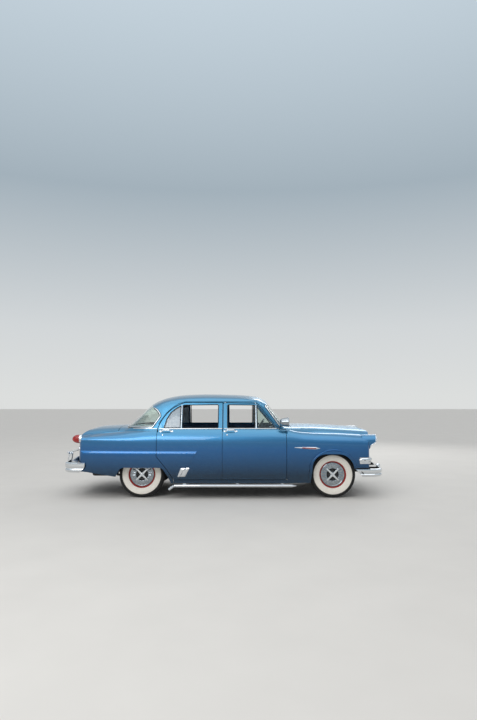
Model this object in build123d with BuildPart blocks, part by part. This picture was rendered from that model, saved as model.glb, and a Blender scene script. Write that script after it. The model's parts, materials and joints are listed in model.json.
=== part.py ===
# A four-door saloon car of the early 1950s, modelled in millimetres.
# +X is forward, +Y is the car's left and +Z is up, with the origin on the ground under the middle of the car.
import math
import os

from build123d import *

os.makedirs("parts", exist_ok=True)

# Driving dimensions
wheelbase = 2921.0
front_axle_x = 1672.0
rear_axle_x = front_axle_x - wheelbase
front_track = 1473.0
rear_track = 1422.0
tyre_radius = 350.0
axle_z = tyre_radius
rim_radius = 205.0
skin = 10.0  # a panel with the flanges and stiffening behind it
roof_skin = 26.0  # roof, pillars and drip rail, with the lining
frame_depth = 24.0  # window frame of a door
gap = 7.0  # shut line between two panels
arch_top_z = 672.0  # top of the front wheel opening
arch_lip = 38.0  # width of the raised lip round it
arch_lip_rise = 13.0
pontoon_rise = 20.0  # how far the rear wing swells out of the side
pontoon_top_z = 722.0
pontoon_shoulder = 62.0  # height of its rounded shoulder
frame_gap = 12.0  # room round the window frames, for the arc that they swing through
door_inner_y = 812.0
sill_top_z = 282.0
floor_z = 335.0
plate = 8.0  # thickness of inner sheet work, with its ribs

# Body by cross-section, rear to front:
# x, middle height, valley y and z, top of the side y and z, widest y and z, sill y and z
body_rows = [
    (-2400, 1004, 556, 922, 786, 903, 842, 878, 800, 300),
    (-1950, 1060, 600, 962, 842, 934, 898, 865, 860, 260),
    (-1500, 1074, 650, 988, 862, 957, 919, 846, 884, 238),
    (-1000, 1045, 835, 1040, 880, 988, 931, 832, 898, 235),
    (0, 1045, 838, 1042, 888, 990, 941, 828, 903, 235),
    (900, 1086, 822, 1040, 884, 984, 938, 825, 900, 235),
    (1300, 1088, 705, 978, 874, 943, 932, 815, 895, 240),
    (1800, 1066, 668, 962, 858, 930, 921, 800, 884, 260),
    (2400, 1028, 638, 928, 808, 900, 872, 778, 842, 300),
]
body_stations = 25
bonnet_shoulder = 150.0  # width of the rounded edge of the bonnet and boot lid
bonnet_fullness = 0.7

# Glasshouse by cross-section, rear to front:
# x, middle height, roof edge y and z, top of the side y and z, foot y
house_foot_z = 900.0
house_rows = [
    (-1590, 1062, 440, 1030, 590, 1000, 720),
    (-1448, 1186, 520, 1110, 670, 1040, 800),
    (-1318, 1302, 550, 1225, 696, 1130, 850),
    (-1200, 1408, 565, 1335, 696, 1240, 880),
    (-1050, 1484, 580, 1420, 694, 1335, 891),
    (-900, 1530, 590, 1474, 692, 1395, 895),
    (-650, 1566, 598, 1514, 690, 1440, 897),
    (-300, 1578, 600, 1528, 690, 1452, 897),
    (250, 1566, 600, 1518, 690, 1448, 897),
    (520, 1540, 600, 1492, 690, 1430, 892),
    (650, 1490, 610, 1440, 700, 1375, 880),
    (760, 1374, 650, 1312, 738, 1235, 862),
    (875, 1241, 680, 1160, 778, 1086, 842),
    (957, 1146, 640, 1070, 755, 1016, 822),
    (1040, 1052, 520, 1034, 700, 1006, 780),
]
house_stations = 22

# Nose and tail: bowed in plan, rounded into the sides and over the top
nose_x, nose_bow, nose_corner, nose_top_radius, nose_top_z = 2300.0, 4800.0, 75.0, 150.0, 888.0
tail_x, tail_bow, tail_corner, tail_top_radius, tail_top_z = -2330.0, 2600.0, 110.0, 360.0, 698.0

# Shut lines
pillar_x = -14.0
front_door_x = 960.0
rear_door_x = -1011.0
door_foot_z = 290.0
bonnet_rear_x = 1046.0
boot_front_x = -1650.0
bonnet_line = [(bonnet_rear_x, 770), (1300, 706), (1800, 669), (2400, 638)]
boot_line = [(boot_front_x, 602), (-1950, 590), (-2400, 556)]
bonnet_lip_z = 866.0
boot_lip_z = 618.0

# Lamps
head_x, head_y, head_z, head_radius = 2120.0, 758.0, 846.0, 109.0
head_rim = 14.0
lamp_x, lamp_y, lamp_z, lamp_radius = -2225.0, 806.0, 893.0, 64.0
spot_x, spot_y, spot_z, spot_radius = 931.0, -868.0, 1150.0, 75.0

# Nose openings, bumpers, pipes
grille_z, grille_half, grille_height = 572.0, 600.0, 210.0
tooth_pitch = 170.0
bumper_x, bumper_bow, bumper_corner, bumper_plate = 2488.0, 5200.0, 170.0, 12.0
front_bumper_half, rear_bumper_half = 928.0, 918.0
guard_x, guard_y, guard_half = 2512.0, 400.0, 27.0
pipe_y, pipe_z, pipe_radius, pipe_rear_x, pipe_length = 902.0, 196.0, 22.0, -740.0, 1780.0

# Wheels, steering and engine room
king_y = 640.0
hub_face = -36.0  # mounting face of a wheel, inboard of the tyre's middle
drum_radius = 135.0
wheel_well = 405.0
rail_in_y, rail_out_y = 370.0, 430.0
shaft_z = 292.0
firewall_x = 1000.0

# Cabin
front_seat_half, rear_seat_half, dash_half = 690.0, 590.0, 745.0


def slopes(xs, ys):
    """Slopes for a smooth curve that doesn't overshoot its points."""
    steps = [(y2 - y1) / (x2 - x1) for x1, x2, y1, y2 in zip(xs, xs[1:], ys, ys[1:])]
    inner = [2 * a * b / (a + b) if a * b > 0 else 0.0 for a, b in zip(steps, steps[1:])]
    return [steps[0], *inner, steps[-1]]


def stations(rows, count):
    """The rows of a table read off at even steps of x, on smooth curves through them."""
    columns = list(zip(*rows))
    xs = columns[0]
    evened = []
    for number in range(count):
        x = xs[0] + (xs[-1] - xs[0]) * number / (count - 1)
        at = max(index for index in range(len(xs) - 1) if xs[index] <= x)
        span = xs[at + 1] - xs[at]
        t = (x - xs[at]) / span
        station = [x]
        for ys in columns[1:]:
            bends = slopes(xs, ys)
            station.append(
                (1 + 2 * t) * (1 - t) ** 2 * ys[at]
                + t * (1 - t) ** 2 * span * bends[at]
                + t * t * (3 - 2 * t) * ys[at + 1]
                + t * t * (t - 1) * span * bends[at + 1]
            )
        evened.append(station)
    return evened


body_even = stations(body_rows, body_stations)
house_even = stations(house_rows, house_stations)


def within(rows, rear, front):
    """The stations from rear to front, with one to spare at each end."""
    step = rows[1][0] - rows[0][0]
    return [row for row in rows if rear - step <= row[0] <= front + step]


def body_loft(inset=0.0, drop=0.0, rear=-2400, front=2400):
    """The lower body as one closed solid, with its skin set in and its foot dropped."""
    with BuildPart() as body:
        for x, deck, valley_y, valley_z, top_y, top_z, wide_y, wide_z, sill_y, sill_z in within(
            body_even, rear, front
        ):
            radius = ((wide_y - top_y) ** 2 + (top_z - wide_z) ** 2) / (2 * (wide_y - top_y))
            out_y = (top_y - wide_y + radius) / radius
            out_z = (top_z - wide_z) / radius
            valley = (valley_y, valley_z - inset)
            shoulder = (
                valley_y - bonnet_shoulder,
                valley_z + bonnet_fullness * (deck - valley_z) - inset,
            )
            with BuildSketch(Plane.YZ.offset(x)):
                with BuildLine():
                    crown = ThreePointArc((-shoulder[0], shoulder[1]), (0, deck - inset), shoulder)
                    fall = crown % 1
                    for side in (1, -1):
                        wide = (side * (wide_y - inset), wide_z)
                        top = (side * (top_y - inset * out_y), top_z - inset * out_z)
                        foot = (side * (sill_y - inset), sill_z)
                        dip = (side * valley[0], valley[1])
                        TangentArc((side * shoulder[0], shoulder[1]), dip, tangent=(side * fall.X, fall.Y))
                        TangentArc(wide, foot, tangent=(0, -1))
                        if drop:
                            Line(foot, (foot[0], sill_z - drop))
                        rise = TangentArc(wide, top, tangent=(0, 1))
                        TangentArc(top, dip, tangent=rise % 1)
                    Line((-sill_y + inset, sill_z - drop), (sill_y - inset, sill_z - drop))
                make_face()
        loft(ruled=True)
    return body.part


def house_loft(inset=0.0, rear=-1590, front=1040):
    """The glasshouse as one closed solid: screens, roof and side windows in one skin."""
    with BuildPart() as house:
        for x, crown_z, edge_y, edge_z, side_y, side_z, foot_y in within(house_even, rear, front):
            lean = math.atan2(foot_y - side_y, side_z - house_foot_z)
            in_y, in_z = inset * math.cos(lean), inset * math.sin(lean)
            edge = (edge_y - inset * 0.4, edge_z - inset * 0.9)
            with BuildSketch(Plane.YZ.offset(x)):
                with BuildLine():
                    crown = ThreePointArc((-edge[0], edge[1]), (0, crown_z - inset), edge)
                    fall = crown % 1
                    for side in (1, -1):
                        top = (side * (side_y - in_y), side_z - in_z)
                        foot = (side * (foot_y - in_y), house_foot_z)
                        TangentArc((side * edge[0], edge[1]), top, tangent=(side * fall.X, fall.Y))
                        Line(top, foot)
                    Line((-foot_y + in_y, house_foot_z), (foot_y - in_y, house_foot_z))
                make_face()
        loft(ruled=True)
    return house.part


def ends(inset=0.0):
    """The space between nose and tail: their bow in plan met by their rounding over the top."""
    with BuildPart() as block:
        with BuildSketch(Plane.XY.offset(-100)) as plan:
            Polygon(
                (2600, 860 - inset), (1500, 960), (-1300, 985), (-2600, 840 - inset),
                (-2600, -840 + inset), (-1300, -985), (1500, -960), (2600, -860 + inset),
                align=None,
            )
            with Locations((nose_x - nose_bow, 0)):
                Circle(nose_bow - inset, mode=Mode.INTERSECT)
            with Locations((tail_x + tail_bow, 0)):
                Circle(tail_bow - inset, mode=Mode.INTERSECT)
            fillet(plan.vertices().group_by(Axis.X)[-1], nose_corner - inset)
            fillet(plan.vertices().group_by(Axis.X)[0], tail_corner - inset)
        extrude(amount=1500)
        with BuildSketch(Plane.XZ):
            with BuildLine():
                nose = CenterArc((nose_x - nose_top_radius, nose_top_z), nose_top_radius - inset, 0, 90)
                tail = CenterArc((tail_x + tail_top_radius, tail_top_z), tail_top_radius - inset, 90, 90)
                Polyline(nose @ 1, (1000, 1300), (-1000, 1300), tail @ 0)
                Polyline(tail @ 1, (tail_x + inset, -100), (nose_x - inset, -100), nose @ 0)
            make_face()
        extrude(amount=1200, both=True, mode=Mode.INTERSECT)
    return block.part


with BuildPart() as body_solid:
    add(body_loft())
    add(ends(), mode=Mode.INTERSECT)

with BuildPart() as body_hollow:
    add(body_loft(skin, drop=200))
    add(ends(skin), mode=Mode.INTERSECT)

with BuildPart() as body_shell:
    add(body_solid.part)
    add(body_hollow.part, mode=Mode.SUBTRACT)

with BuildPart() as house_shell:
    add(house_loft())
    add(house_loft(roof_skin), mode=Mode.SUBTRACT)
    add(body_solid.part, mode=Mode.SUBTRACT)

# Outlines in side view
half = gap / 2
far = 1700.0  # further out than any panel
low_end = (Align.CENTER, Align.CENTER, Align.MIN)

with BuildSketch(Plane.XZ) as front_arch:
    with BuildLine():
        top = Line((1560, arch_top_z), (1740, arch_top_z))
        back = TangentArc(top @ 0, (1349, 450), tangent=(-1, 0))
        fore = TangentArc(top @ 1, (1984, 450), tangent=(1, 0))
        Polyline(fore @ 1, (2044, 463), (far * 2, 466), (far * 2, -200), (1262, -200), back @ 1)
    make_face()

with BuildSketch(Plane.XZ) as arch_lip_side:
    add(front_arch.sketch)
    offset(amount=arch_lip, kind=Kind.INTERSECTION)
    add(front_arch.sketch, mode=Mode.SUBTRACT)
    Polygon(
        (1100, 290), (1990, 290), (1990, 480), (2044, 530), (2044, 800), (1100, 800),
        align=None, mode=Mode.INTERSECT,
    )

with BuildSketch(Plane.XZ) as rear_arch:
    with BuildLine():
        arch = FilletPolyline((-839, 340), (-923, 469), (-1549, 469), (-1631, 332), radius=80)
        Polyline(
            arch @ 1, (-2100, 404), (-far * 2, 430), (-far * 2, -200), (-790, -200), (-790, 247), arch @ 0
        )
    make_face()

with BuildSketch(Plane.XZ) as front_door_side:
    Polygon(
        (pillar_x + half, door_foot_z), (front_door_x - half, door_foot_z),
        (front_door_x - half, far), (pillar_x + half, far), align=None,
    )

with BuildSketch(Plane.XZ) as rear_door_side:
    Polygon(
        (pillar_x - half, door_foot_z), (-745, door_foot_z), (-770, 330), (-850, 450),
        (rear_door_x + half, 640), (rear_door_x + half, far), (pillar_x - half, far), align=None,
    )

with BuildSketch(Plane.XZ) as front_frame_side:
    with BuildLine():
        frame = FilletPolyline((-6, 990), (-6, 1440), (520, 1432), (824, 1058), (824, 990), radius=24)
        Line(frame @ 1, frame @ 0)
    make_face()

with BuildSketch(Plane.XZ) as rear_frame_side:
    with BuildLine():
        sweep_back = ThreePointArc((-600, 1441), (-845, 1300), (-1000, 1050))
        Polyline(
            sweep_back @ 1, (-1003, 990), (pillar_x - half, 990), (pillar_x - half, 1441), sweep_back @ 0
        )
    make_face()

with BuildSketch(Plane.XZ) as front_window_side:
    Polygon((67, 1068), (494, 1068), (494, 1404), (67, 1409), align=None)

with BuildSketch(Plane.XZ) as vent_side:
    Polygon((514, 1068), (790, 1068), (514, 1399), align=None)

with BuildSketch(Plane.XZ) as rear_window_side:
    with BuildLine():
        Polyline((-637, 1404), (-84, 1410), (-84, 1068), (-637, 1068), close=True)
    make_face()

with BuildSketch(Plane.XZ) as quarter_window_side:
    with BuildLine():
        back_edge = ThreePointArc((-657, 1394), (-815, 1282), (-905, 1068))
        Polyline(back_edge @ 1, (-657, 1068), back_edge @ 0)
    make_face()

with BuildSketch(Plane.XZ) as screen_side:
    Polygon(
        (882, 1078), (654, 1394), (702, 1441), (800, 1560), (1200, 1560), (1200, 1000), (1040, 1064),
        align=None,
    )

with BuildSketch(Plane.XZ) as backlight_side:
    Polygon(
        (-1100, 1064), (-984, 1236), (-990, 1268), (-1036, 1330), (-1120, 1380), (-1190, 1412), (-1290, 1560),
        (-1900, 1560), (-1900, 1000), (-1420, 1050), align=None,
    )

with BuildSketch(Plane.XZ) as quarter_side:
    Polygon(
        (rear_door_x - half, far), (rear_door_x - half, 638), (-857, 447), (-777, 327), (-752, 288),
        (-752, 200), (-far * 2, 200), (-far * 2, far), align=None,
    )
    add(rear_arch.sketch, mode=Mode.SUBTRACT)

with BuildSketch(Plane.XZ) as fender_side:
    Polygon(
        (front_door_x + half, 200), (far * 2, 200), (far * 2, far), (front_door_x + half, far), align=None
    )
    add(front_arch.sketch, mode=Mode.SUBTRACT)

# Outlines in plan
with BuildSketch(Plane.XY) as bonnet_plan:
    Polygon(*bonnet_line, *[(x, -y) for x, y in reversed(bonnet_line)], align=None)

with BuildSketch(Plane.XY) as boot_plan:
    Polygon(*boot_line, *[(x, -y) for x, y in reversed(boot_line)], align=None)


def left_of(outline, grow=0.0):
    """The space to the left of the middle within a side-view outline."""
    with BuildPart() as space:
        with BuildSketch(Plane.XZ) as grown:
            add(outline.sketch)
            if grow:
                offset(amount=grow, kind=Kind.INTERSECTION)
        extrude(grown.sketch, amount=-far)
    return space.part


def across(outline, grow=0.0):
    """The space across the whole car within a side-view outline."""
    with BuildPart() as space:
        with BuildSketch(Plane.XZ) as grown:
            add(outline.sketch)
            if grow:
                offset(amount=grow, kind=Kind.INTERSECTION)
        extrude(grown.sketch, amount=far, both=True)
    return space.part


def upright(outline, grow=0.0):
    """The space over and under a plan outline."""
    with BuildPart() as space:
        with BuildSketch(Plane.XY) as grown:
            add(outline.sketch)
            if grow:
                offset(amount=grow, kind=Kind.INTERSECTION)
        extrude(grown.sketch, amount=2 * far, both=True)
    return space.part


def block(x1, x2, y1, y2, z1, z2):
    """A box between two corners, given in any order across the car."""
    with BuildPart() as box:
        with Locations(((x1 + x2) / 2, (y1 + y2) / 2, (z1 + z2) / 2)):
            Box(x2 - x1, abs(y2 - y1), z2 - z1)
    return box.part


def other_side(part):
    """The same piece on the car's right."""
    with BuildPart() as copy:
        mirror(part, about=Plane.XZ)
    return copy.part


pieces = {}


def finish(name, part):
    """Label a finished piece and write it."""
    part.label = name
    export_step(part, f"parts/{name}.step")
    pieces[name] = part


# The swelling of the rear wing, with its rounded shoulder, which starts on the rear door
with BuildSketch(Plane.XZ) as pontoon_side:
    Polygon(
        (-394, pontoon_top_z), (-690, 290), (-752, 200), (-2400, 200), (-2400, pontoon_top_z), align=None
    )

with BuildPart() as pontoon_left:
    for x, _, _, _, _, _, wide_y, wide_z, sill_y, sill_z in within(body_even, -2400, -300):
        radius = ((wide_y - sill_y) ** 2 + (wide_z - sill_z) ** 2) / (2 * (wide_y - sill_y))
        shoulder_y, top_y = (
            wide_y - radius + math.sqrt(radius**2 - (wide_z - z) ** 2)
            for z in (pontoon_top_z - pontoon_shoulder, pontoon_top_z)
        )
        shoulder = (shoulder_y + pontoon_rise, pontoon_top_z - pontoon_shoulder)
        with BuildSketch(Plane.YZ.offset(x)):
            with BuildLine():
                side_line = TangentArc(shoulder, (sill_y + pontoon_rise, sill_z), tangent=(0, -1))
                edge = (top_y - 2, pontoon_top_z)
                Polyline(side_line @ 1, (sill_y - 60, sill_z), (sill_y - 60, pontoon_top_z), edge)
                TangentArc(shoulder, edge, tangent=(0, 1))
            make_face()
    loft(ruled=True)
    add(left_of(pontoon_side), mode=Mode.INTERSECT)
    add(ends(-6), mode=Mode.INTERSECT)
    add(body_loft(5, rear=-2400, front=-200), mode=Mode.SUBTRACT)

# Bodywork: roof with its pillars
with BuildPart() as roof_panel:
    add(house_shell.part)
    add(across(screen_side), mode=Mode.SUBTRACT)
    add(across(backlight_side), mode=Mode.SUBTRACT)
    add(across(front_frame_side, frame_gap), mode=Mode.SUBTRACT)
    add(across(rear_frame_side, frame_gap), mode=Mode.SUBTRACT)
finish("roof_panel", roof_panel.part)

# Bodywork: rear quarters with the deck under the rear screen
with BuildPart() as quarter_panels:
    add(body_shell.part)
    add(across(quarter_side), mode=Mode.INTERSECT)
    add(upright(boot_plan), mode=Mode.SUBTRACT)
    add(block(-1190, -900, -door_inner_y, door_inner_y, 800, far), mode=Mode.SUBTRACT)
    for pontoon in (pontoon_left.part, other_side(pontoon_left.part)):
        add(pontoon)
    add(across(quarter_side), mode=Mode.INTERSECT)
finish("quarter_panels", quarter_panels.part)

with BuildPart() as boot_lid:
    add(body_shell.part)
    add(upright(boot_plan, -gap), mode=Mode.INTERSECT)
    add(block(-far * 2, boot_front_x, -far, far, boot_lip_z + half, far), mode=Mode.INTERSECT)
finish("boot_lid", boot_lid.part)

with BuildPart() as tail_panel:
    add(body_shell.part)
    add(upright(boot_plan), mode=Mode.INTERSECT)
    add(block(-far * 2, -2000, -far, far, 425, boot_lip_z - half), mode=Mode.INTERSECT)
finish("tail_panel", tail_panel.part)

# Bodywork: front wings, bonnet, nose and cowl
with BuildSketch(Plane.XZ) as visor_side:
    Polygon(
        (2000, 600), (2225, 600), (2252, 800), (2328, 842), (2350, 1000), (2000, 1000), align=None
    )

with BuildPart() as head_tubes:
    for side in (1, -1):
        with Locations(Plane((head_x, side * head_y, head_z), z_dir=(1, 0, 0))):
            Cylinder(head_radius, 300, align=low_end)
            Cylinder(head_radius - head_rim, 300, align=low_end, mode=Mode.SUBTRACT)
    add(across(visor_side), mode=Mode.INTERSECT)

with BuildPart() as arch_lip_left:
    add(body_loft(-arch_lip_rise, rear=1100, front=2100))
    add(body_loft(4, rear=1100, front=2100), mode=Mode.SUBTRACT)
    add(left_of(arch_lip_side), mode=Mode.INTERSECT)

with BuildPart() as front_fenders:
    add(body_shell.part)
    add(across(fender_side), mode=Mode.INTERSECT)
    add(upright(bonnet_plan), mode=Mode.SUBTRACT)
    add(block(0, bonnet_rear_x + 1, -770, 770, 0, far), mode=Mode.SUBTRACT)
    for side in (1, -1):
        with Locations(Plane((head_x, side * head_y, head_z), z_dir=(1, 0, 0))):
            Cylinder(head_radius - head_rim, 300, align=low_end, mode=Mode.SUBTRACT)
    add(head_tubes.part)
    add(arch_lip_left.part)
    add(other_side(arch_lip_left.part))
finish("front_fenders", front_fenders.part)

with BuildPart() as bonnet:
    add(body_shell.part)
    add(upright(bonnet_plan, -gap), mode=Mode.INTERSECT)
    add(block(0, far * 2, -far, far, bonnet_lip_z + half, far), mode=Mode.INTERSECT)
finish("bonnet", bonnet.part)

with BuildPart() as front_panel:
    add(body_shell.part)
    add(upright(bonnet_plan), mode=Mode.INTERSECT)
    add(block(2000, far * 2, -far, far, 432, bonnet_lip_z - half), mode=Mode.INTERSECT)
    with BuildSketch(Plane.YZ.offset(2000)):
        with Locations((0, grille_z)):
            SlotOverall(2 * grille_half, grille_height)
    extrude(amount=600, mode=Mode.SUBTRACT)
finish("front_panel", front_panel.part)

with BuildPart() as cowl:
    add(body_shell.part)
    add(block(860, bonnet_rear_x, -770, 770, 800, far), mode=Mode.INTERSECT)
finish("cowl", cowl.part)

# Doors
with BuildPart() as door_cavity:
    add(body_loft(14, drop=0, rear=-1300, front=1200))
    add(block(-far, far, door_inner_y + 12, far, 305, 1028), mode=Mode.INTERSECT)

with BuildPart() as window_frames:
    add(house_loft(rear=-1300, front=1040))
    add(house_loft(frame_depth, rear=-1300, front=1040), mode=Mode.SUBTRACT)

for front, back_x, door_side, frame_side, openings in (
    (True, pillar_x + half, front_door_side, front_frame_side, (front_window_side, vent_side)),
    (False, rear_door_x + half, rear_door_side, rear_frame_side, (rear_window_side, quarter_window_side)),
):
    with BuildPart() as door:
        add(body_solid.part)
        add(left_of(door_side), mode=Mode.INTERSECT)
        add(block(-far, far, door_inner_y, far, 200, far), mode=Mode.INTERSECT)
    with BuildPart() as frame:
        add(window_frames.part)
        add(left_of(frame_side), mode=Mode.INTERSECT)
        for opening in openings:
            add(left_of(opening), mode=Mode.SUBTRACT)
    with BuildPart() as hollow:
        add(door_cavity.part)
        add(left_of(door_side, -14), mode=Mode.INTERSECT)
    with BuildPart() as whole:
        add(door.part)
        add(frame.part)
        add(hollow.part, mode=Mode.SUBTRACT)
        add(block(back_x, back_x + 10, 0, 872, 0, far), mode=Mode.SUBTRACT)
        if not front:
            add(pontoon_left.part)
            add(left_of(door_side), mode=Mode.INTERSECT)
    name = "front_door" if front else "rear_door"
    finish(name + "_left", whole.part)
    finish(name + "_right", other_side(whole.part))

# Glass in the screens, the front vents and the rear quarter lights
with BuildPart() as screen_skin:
    add(house_loft(10, rear=600, front=1040))
    add(house_loft(15, rear=600, front=1040), mode=Mode.SUBTRACT)
    add(body_solid.part, mode=Mode.SUBTRACT)

with BuildPart() as windscreen:
    add(screen_skin.part)
    add(across(screen_side), mode=Mode.INTERSECT)
finish("windscreen", windscreen.part)

with BuildPart() as backlight_skin:
    add(house_loft(10, rear=-1590, front=-950))
    add(house_loft(15, rear=-1590, front=-950), mode=Mode.SUBTRACT)
    add(body_solid.part, mode=Mode.SUBTRACT)

with BuildPart() as rear_screen:
    add(backlight_skin.part)
    add(across(backlight_side), mode=Mode.INTERSECT)
finish("rear_screen", rear_screen.part)

with BuildPart() as side_skin:
    add(house_loft(9, rear=-1100, front=900))
    add(house_loft(14, rear=-1100, front=900), mode=Mode.SUBTRACT)

for name, opening in (("vent_glass", vent_side), ("quarter_glass", quarter_window_side)):
    with BuildPart() as pane:
        add(side_skin.part)
        add(left_of(opening), mode=Mode.INTERSECT)
    finish(name + "_left", pane.part)
    finish(name + "_right", other_side(pane.part))

# Inner structure: sills, floor, wheel wells, centre posts
with BuildPart() as floor_pan:
    add(block(-812, firewall_x, -760, 760, floor_z, floor_z + plate))
    add(block(-820, -812, -600, 600, floor_z, 538))
    add(block(-1628, -812, -600, 600, 530, 538))
    add(block(-1628, -1620, -600, 600, 430, 538))
    add(block(-2180, -1620, -600, 600, 430, 438))
    add(block(-2180, -1660, -780, 780, 430, 438))
finish("floor_pan", floor_pan.part)

with BuildPart() as sills:
    add(body_solid.part)
    add(block(-748, front_door_x + half, -far, far, 200, sill_top_z), mode=Mode.INTERSECT)
    add(block(-far, far, -760, 760, 200, far), mode=Mode.SUBTRACT)
    for side in (1, -1):
        add(block(-748, front_door_x + half, side * 760, side * 800, sill_top_z, floor_z + plate))
        add(block(-74, 46, side * 764, side * 802, floor_z + plate, 1040))
finish("sills", sills.part)

with BuildPart() as wheel_wells:
    for side in (1, -1):
        with Locations(Plane((rear_axle_x, side * 604, axle_z), z_dir=(0, side, 0))):
            Cylinder(wheel_well, 330, align=low_end)
            Cylinder(wheel_well - plate, 330, align=low_end, mode=Mode.SUBTRACT)
        with Locations(Plane((rear_axle_x, side * 600, axle_z), z_dir=(0, side, 0))):
            Cylinder(wheel_well, plate, align=low_end)
    add(body_hollow.part, mode=Mode.INTERSECT)
    add(across(rear_arch), mode=Mode.SUBTRACT)
    add(block(-1640, -840, -door_inner_y, door_inner_y, 0, 440), mode=Mode.SUBTRACT)
    for side in (1, -1):
        add(block(rear_door_x - gap, 0, side * 802, side * far, 0, far), mode=Mode.SUBTRACT)
finish("wheel_wells", wheel_wells.part)

with BuildPart() as firewall:
    add(block(firewall_x, firewall_x + plate, -940, 940, floor_z, 1100))
    add(body_hollow.part, mode=Mode.INTERSECT)
finish("firewall", firewall.part)

with BuildPart() as aprons:
    for side in (1, -1):
        with Locations(Plane((front_axle_x, side * 440, axle_z), z_dir=(0, side, 0))):
            Cylinder(wheel_well + 15, 490, align=low_end)
            Cylinder(wheel_well + 9, 490, align=low_end, mode=Mode.SUBTRACT)
        add(block(firewall_x + plate, 2200, side * 440, side * 446, 440, 960))
    add(body_hollow.part, mode=Mode.INTERSECT)
    add(block(0, far * 2, -far, far, 0, 520), mode=Mode.SUBTRACT)
    add(block(0, firewall_x + plate, -far, far, 0, far), mode=Mode.SUBTRACT)
finish("aprons", aprons.part)

# Chassis frame, with its cross members and bumper irons
with BuildSketch(Plane.XZ) as rail_side:
    Polygon(
        (2200, 430), (1250, 430), (1060, 326), (-835, 326), (-1015, 520), (-1430, 520), (-1590, 422),
        (-2230, 422), (-2230, 340), (-1560, 340), (-1400, 440), (-1070, 440), (-880, 240), (1090, 240),
        (1280, 346), (2200, 346), align=None,
    )

with BuildPart() as chassis_frame:
    extrude(rail_side.sketch, amount=rail_out_y, both=True)
    add(block(-far * 2, far * 2, -rail_in_y, rail_in_y, 0, far), mode=Mode.SUBTRACT)
    for x1, x2, z1, z2 in (
        (2120, 2200, 350, 426), (1610, 1734, 350, 426), (950, 1040, 246, 320), (-240, -160, 246, 320),
        (-2230, -2160, 346, 418),
    ):
        add(block(x1, x2, -rail_in_y, rail_in_y, z1, z2))
    for side in (1, -1):
        add(block(2200, 2446, side * 380, side * 420, 370, 420))
        add(block(-2446, -2230, side * 380, side * 420, 400, 422))
        add(block(740, 800, side * rail_out_y, side * 760, 250, 316))
        add(block(-700, -640, side * rail_out_y, side * 760, 250, 316))
    with Locations(Plane((0, 0, shaft_z), z_dir=(1, 0, 0))):
        Cylinder(60, 2300, mode=Mode.SUBTRACT)
finish("chassis_frame", chassis_frame.part)

with BuildSketch(Plane.XZ) as engine_side:
    Polygon(
        (1850, 460), (1850, 900), (1200, 900), (1200, 440), (1080, 380), (1080, 250), (1240, 250), (1300, 440),
        align=None,
    )

with BuildPart() as engine_block:
    extrude(engine_side.sketch, amount=170, both=True)
    fillet(engine_block.edges().filter_by(Axis.X).group_by(Axis.Z)[-1], 40)
finish("engine_block", engine_block.part)

with BuildPart() as radiator:
    add(block(2070, 2110, -330, 330, 426, 880))
finish("radiator", radiator.part)

rear_drum_face = rear_track / 2 + hub_face - 0.5

with BuildPart() as driveline:
    with Locations(Plane((-1140, 0, shaft_z), z_dir=(1, 0, 0))):
        Cylinder(34, 2220, align=low_end)
    with Locations((rear_axle_x, 0, axle_z)):
        Sphere(112)
    with Locations(Plane((rear_axle_x, 0, axle_z), z_dir=(0, 1, 0))):
        Cylinder(38, 2 * rear_drum_face - 39)
    for side in (1, -1):
        with Locations(Plane((rear_axle_x, side * rear_drum_face, axle_z), z_dir=(0, -side, 0))):
            Cylinder(drum_radius, 50, align=low_end)
finish("driveline", driveline.part)

with BuildPart() as fuel_tank:
    add(block(-2120, -1780, -340, 340, 270, 430))
    fillet(fuel_tank.edges().filter_by(Axis.Y), 40)
finish("fuel_tank", fuel_tank.part)

# Front suspension: arms that carry the king pins
with BuildPart() as front_suspension:
    for side in (1, -1):
        for low_z, high_z in ((250, 280), (436, 456)):
            add(block(front_axle_x - 40, front_axle_x + 40, side * rail_out_y, side * 588, low_z, high_z))
            add(block(front_axle_x - 20, front_axle_x + 20, side * 560, side * 655, low_z, high_z))
        add(block(front_axle_x - 60, front_axle_x + 60, side * rail_out_y, side * 470, 250, 456))
finish("front_suspension", front_suspension.part)

front_drum_face = front_track / 2 + hub_face - 0.5

with BuildPart() as knuckle:
    with Locations((front_axle_x, king_y, 280.4)):
        Cylinder(22, 155.2, align=low_end)
    with Locations(Plane((front_axle_x, king_y, axle_z), z_dir=(0, 1, 0))):
        Cylinder(26, 50, align=low_end)
    with Locations(Plane((front_axle_x, front_drum_face, axle_z), z_dir=(0, -1, 0))):
        Cylinder(drum_radius, 34, align=low_end)
finish("knuckle_left", knuckle.part)
finish("knuckle_right", other_side(knuckle.part))

# Wheels: pressed rim with its cap, and tyre
tyre_outline = [
    (rim_radius, -62), (236, -78), (282, -85), (318, -80), (342, -64), (tyre_radius, -42),
    (tyre_radius, 42), (342, 64), (318, 80), (282, 85), (236, 78), (rim_radius, 62),
]
rim_outline = [
    (0, hub_face), (168, hub_face), (178, -46), (186, -62), (rim_radius, -62), (rim_radius, 62), (193, 64),
    (187, 40), (166, 24), (152, 22), (152, 30), (142, 42), (104, 52), (66, 54), (56, 68), (0, 72),
]

for name, axle_x, track in (("front", front_axle_x, front_track), ("rear", rear_axle_x, rear_track)):
    for kind, outline in (("tyre", tyre_outline), ("wheel", rim_outline)):
        with BuildPart() as turned:
            with BuildSketch(Plane((axle_x, track / 2, axle_z), x_dir=(1, 0, 0), z_dir=(0, 0, 1))):
                Polygon(*outline, align=None)
            revolve(axis=Axis((axle_x, 0, axle_z), (0, 1, 0)))
        finish(f"{kind}_{name}_left", turned.part)
        finish(f"{kind}_{name}_right", other_side(turned.part))


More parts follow.
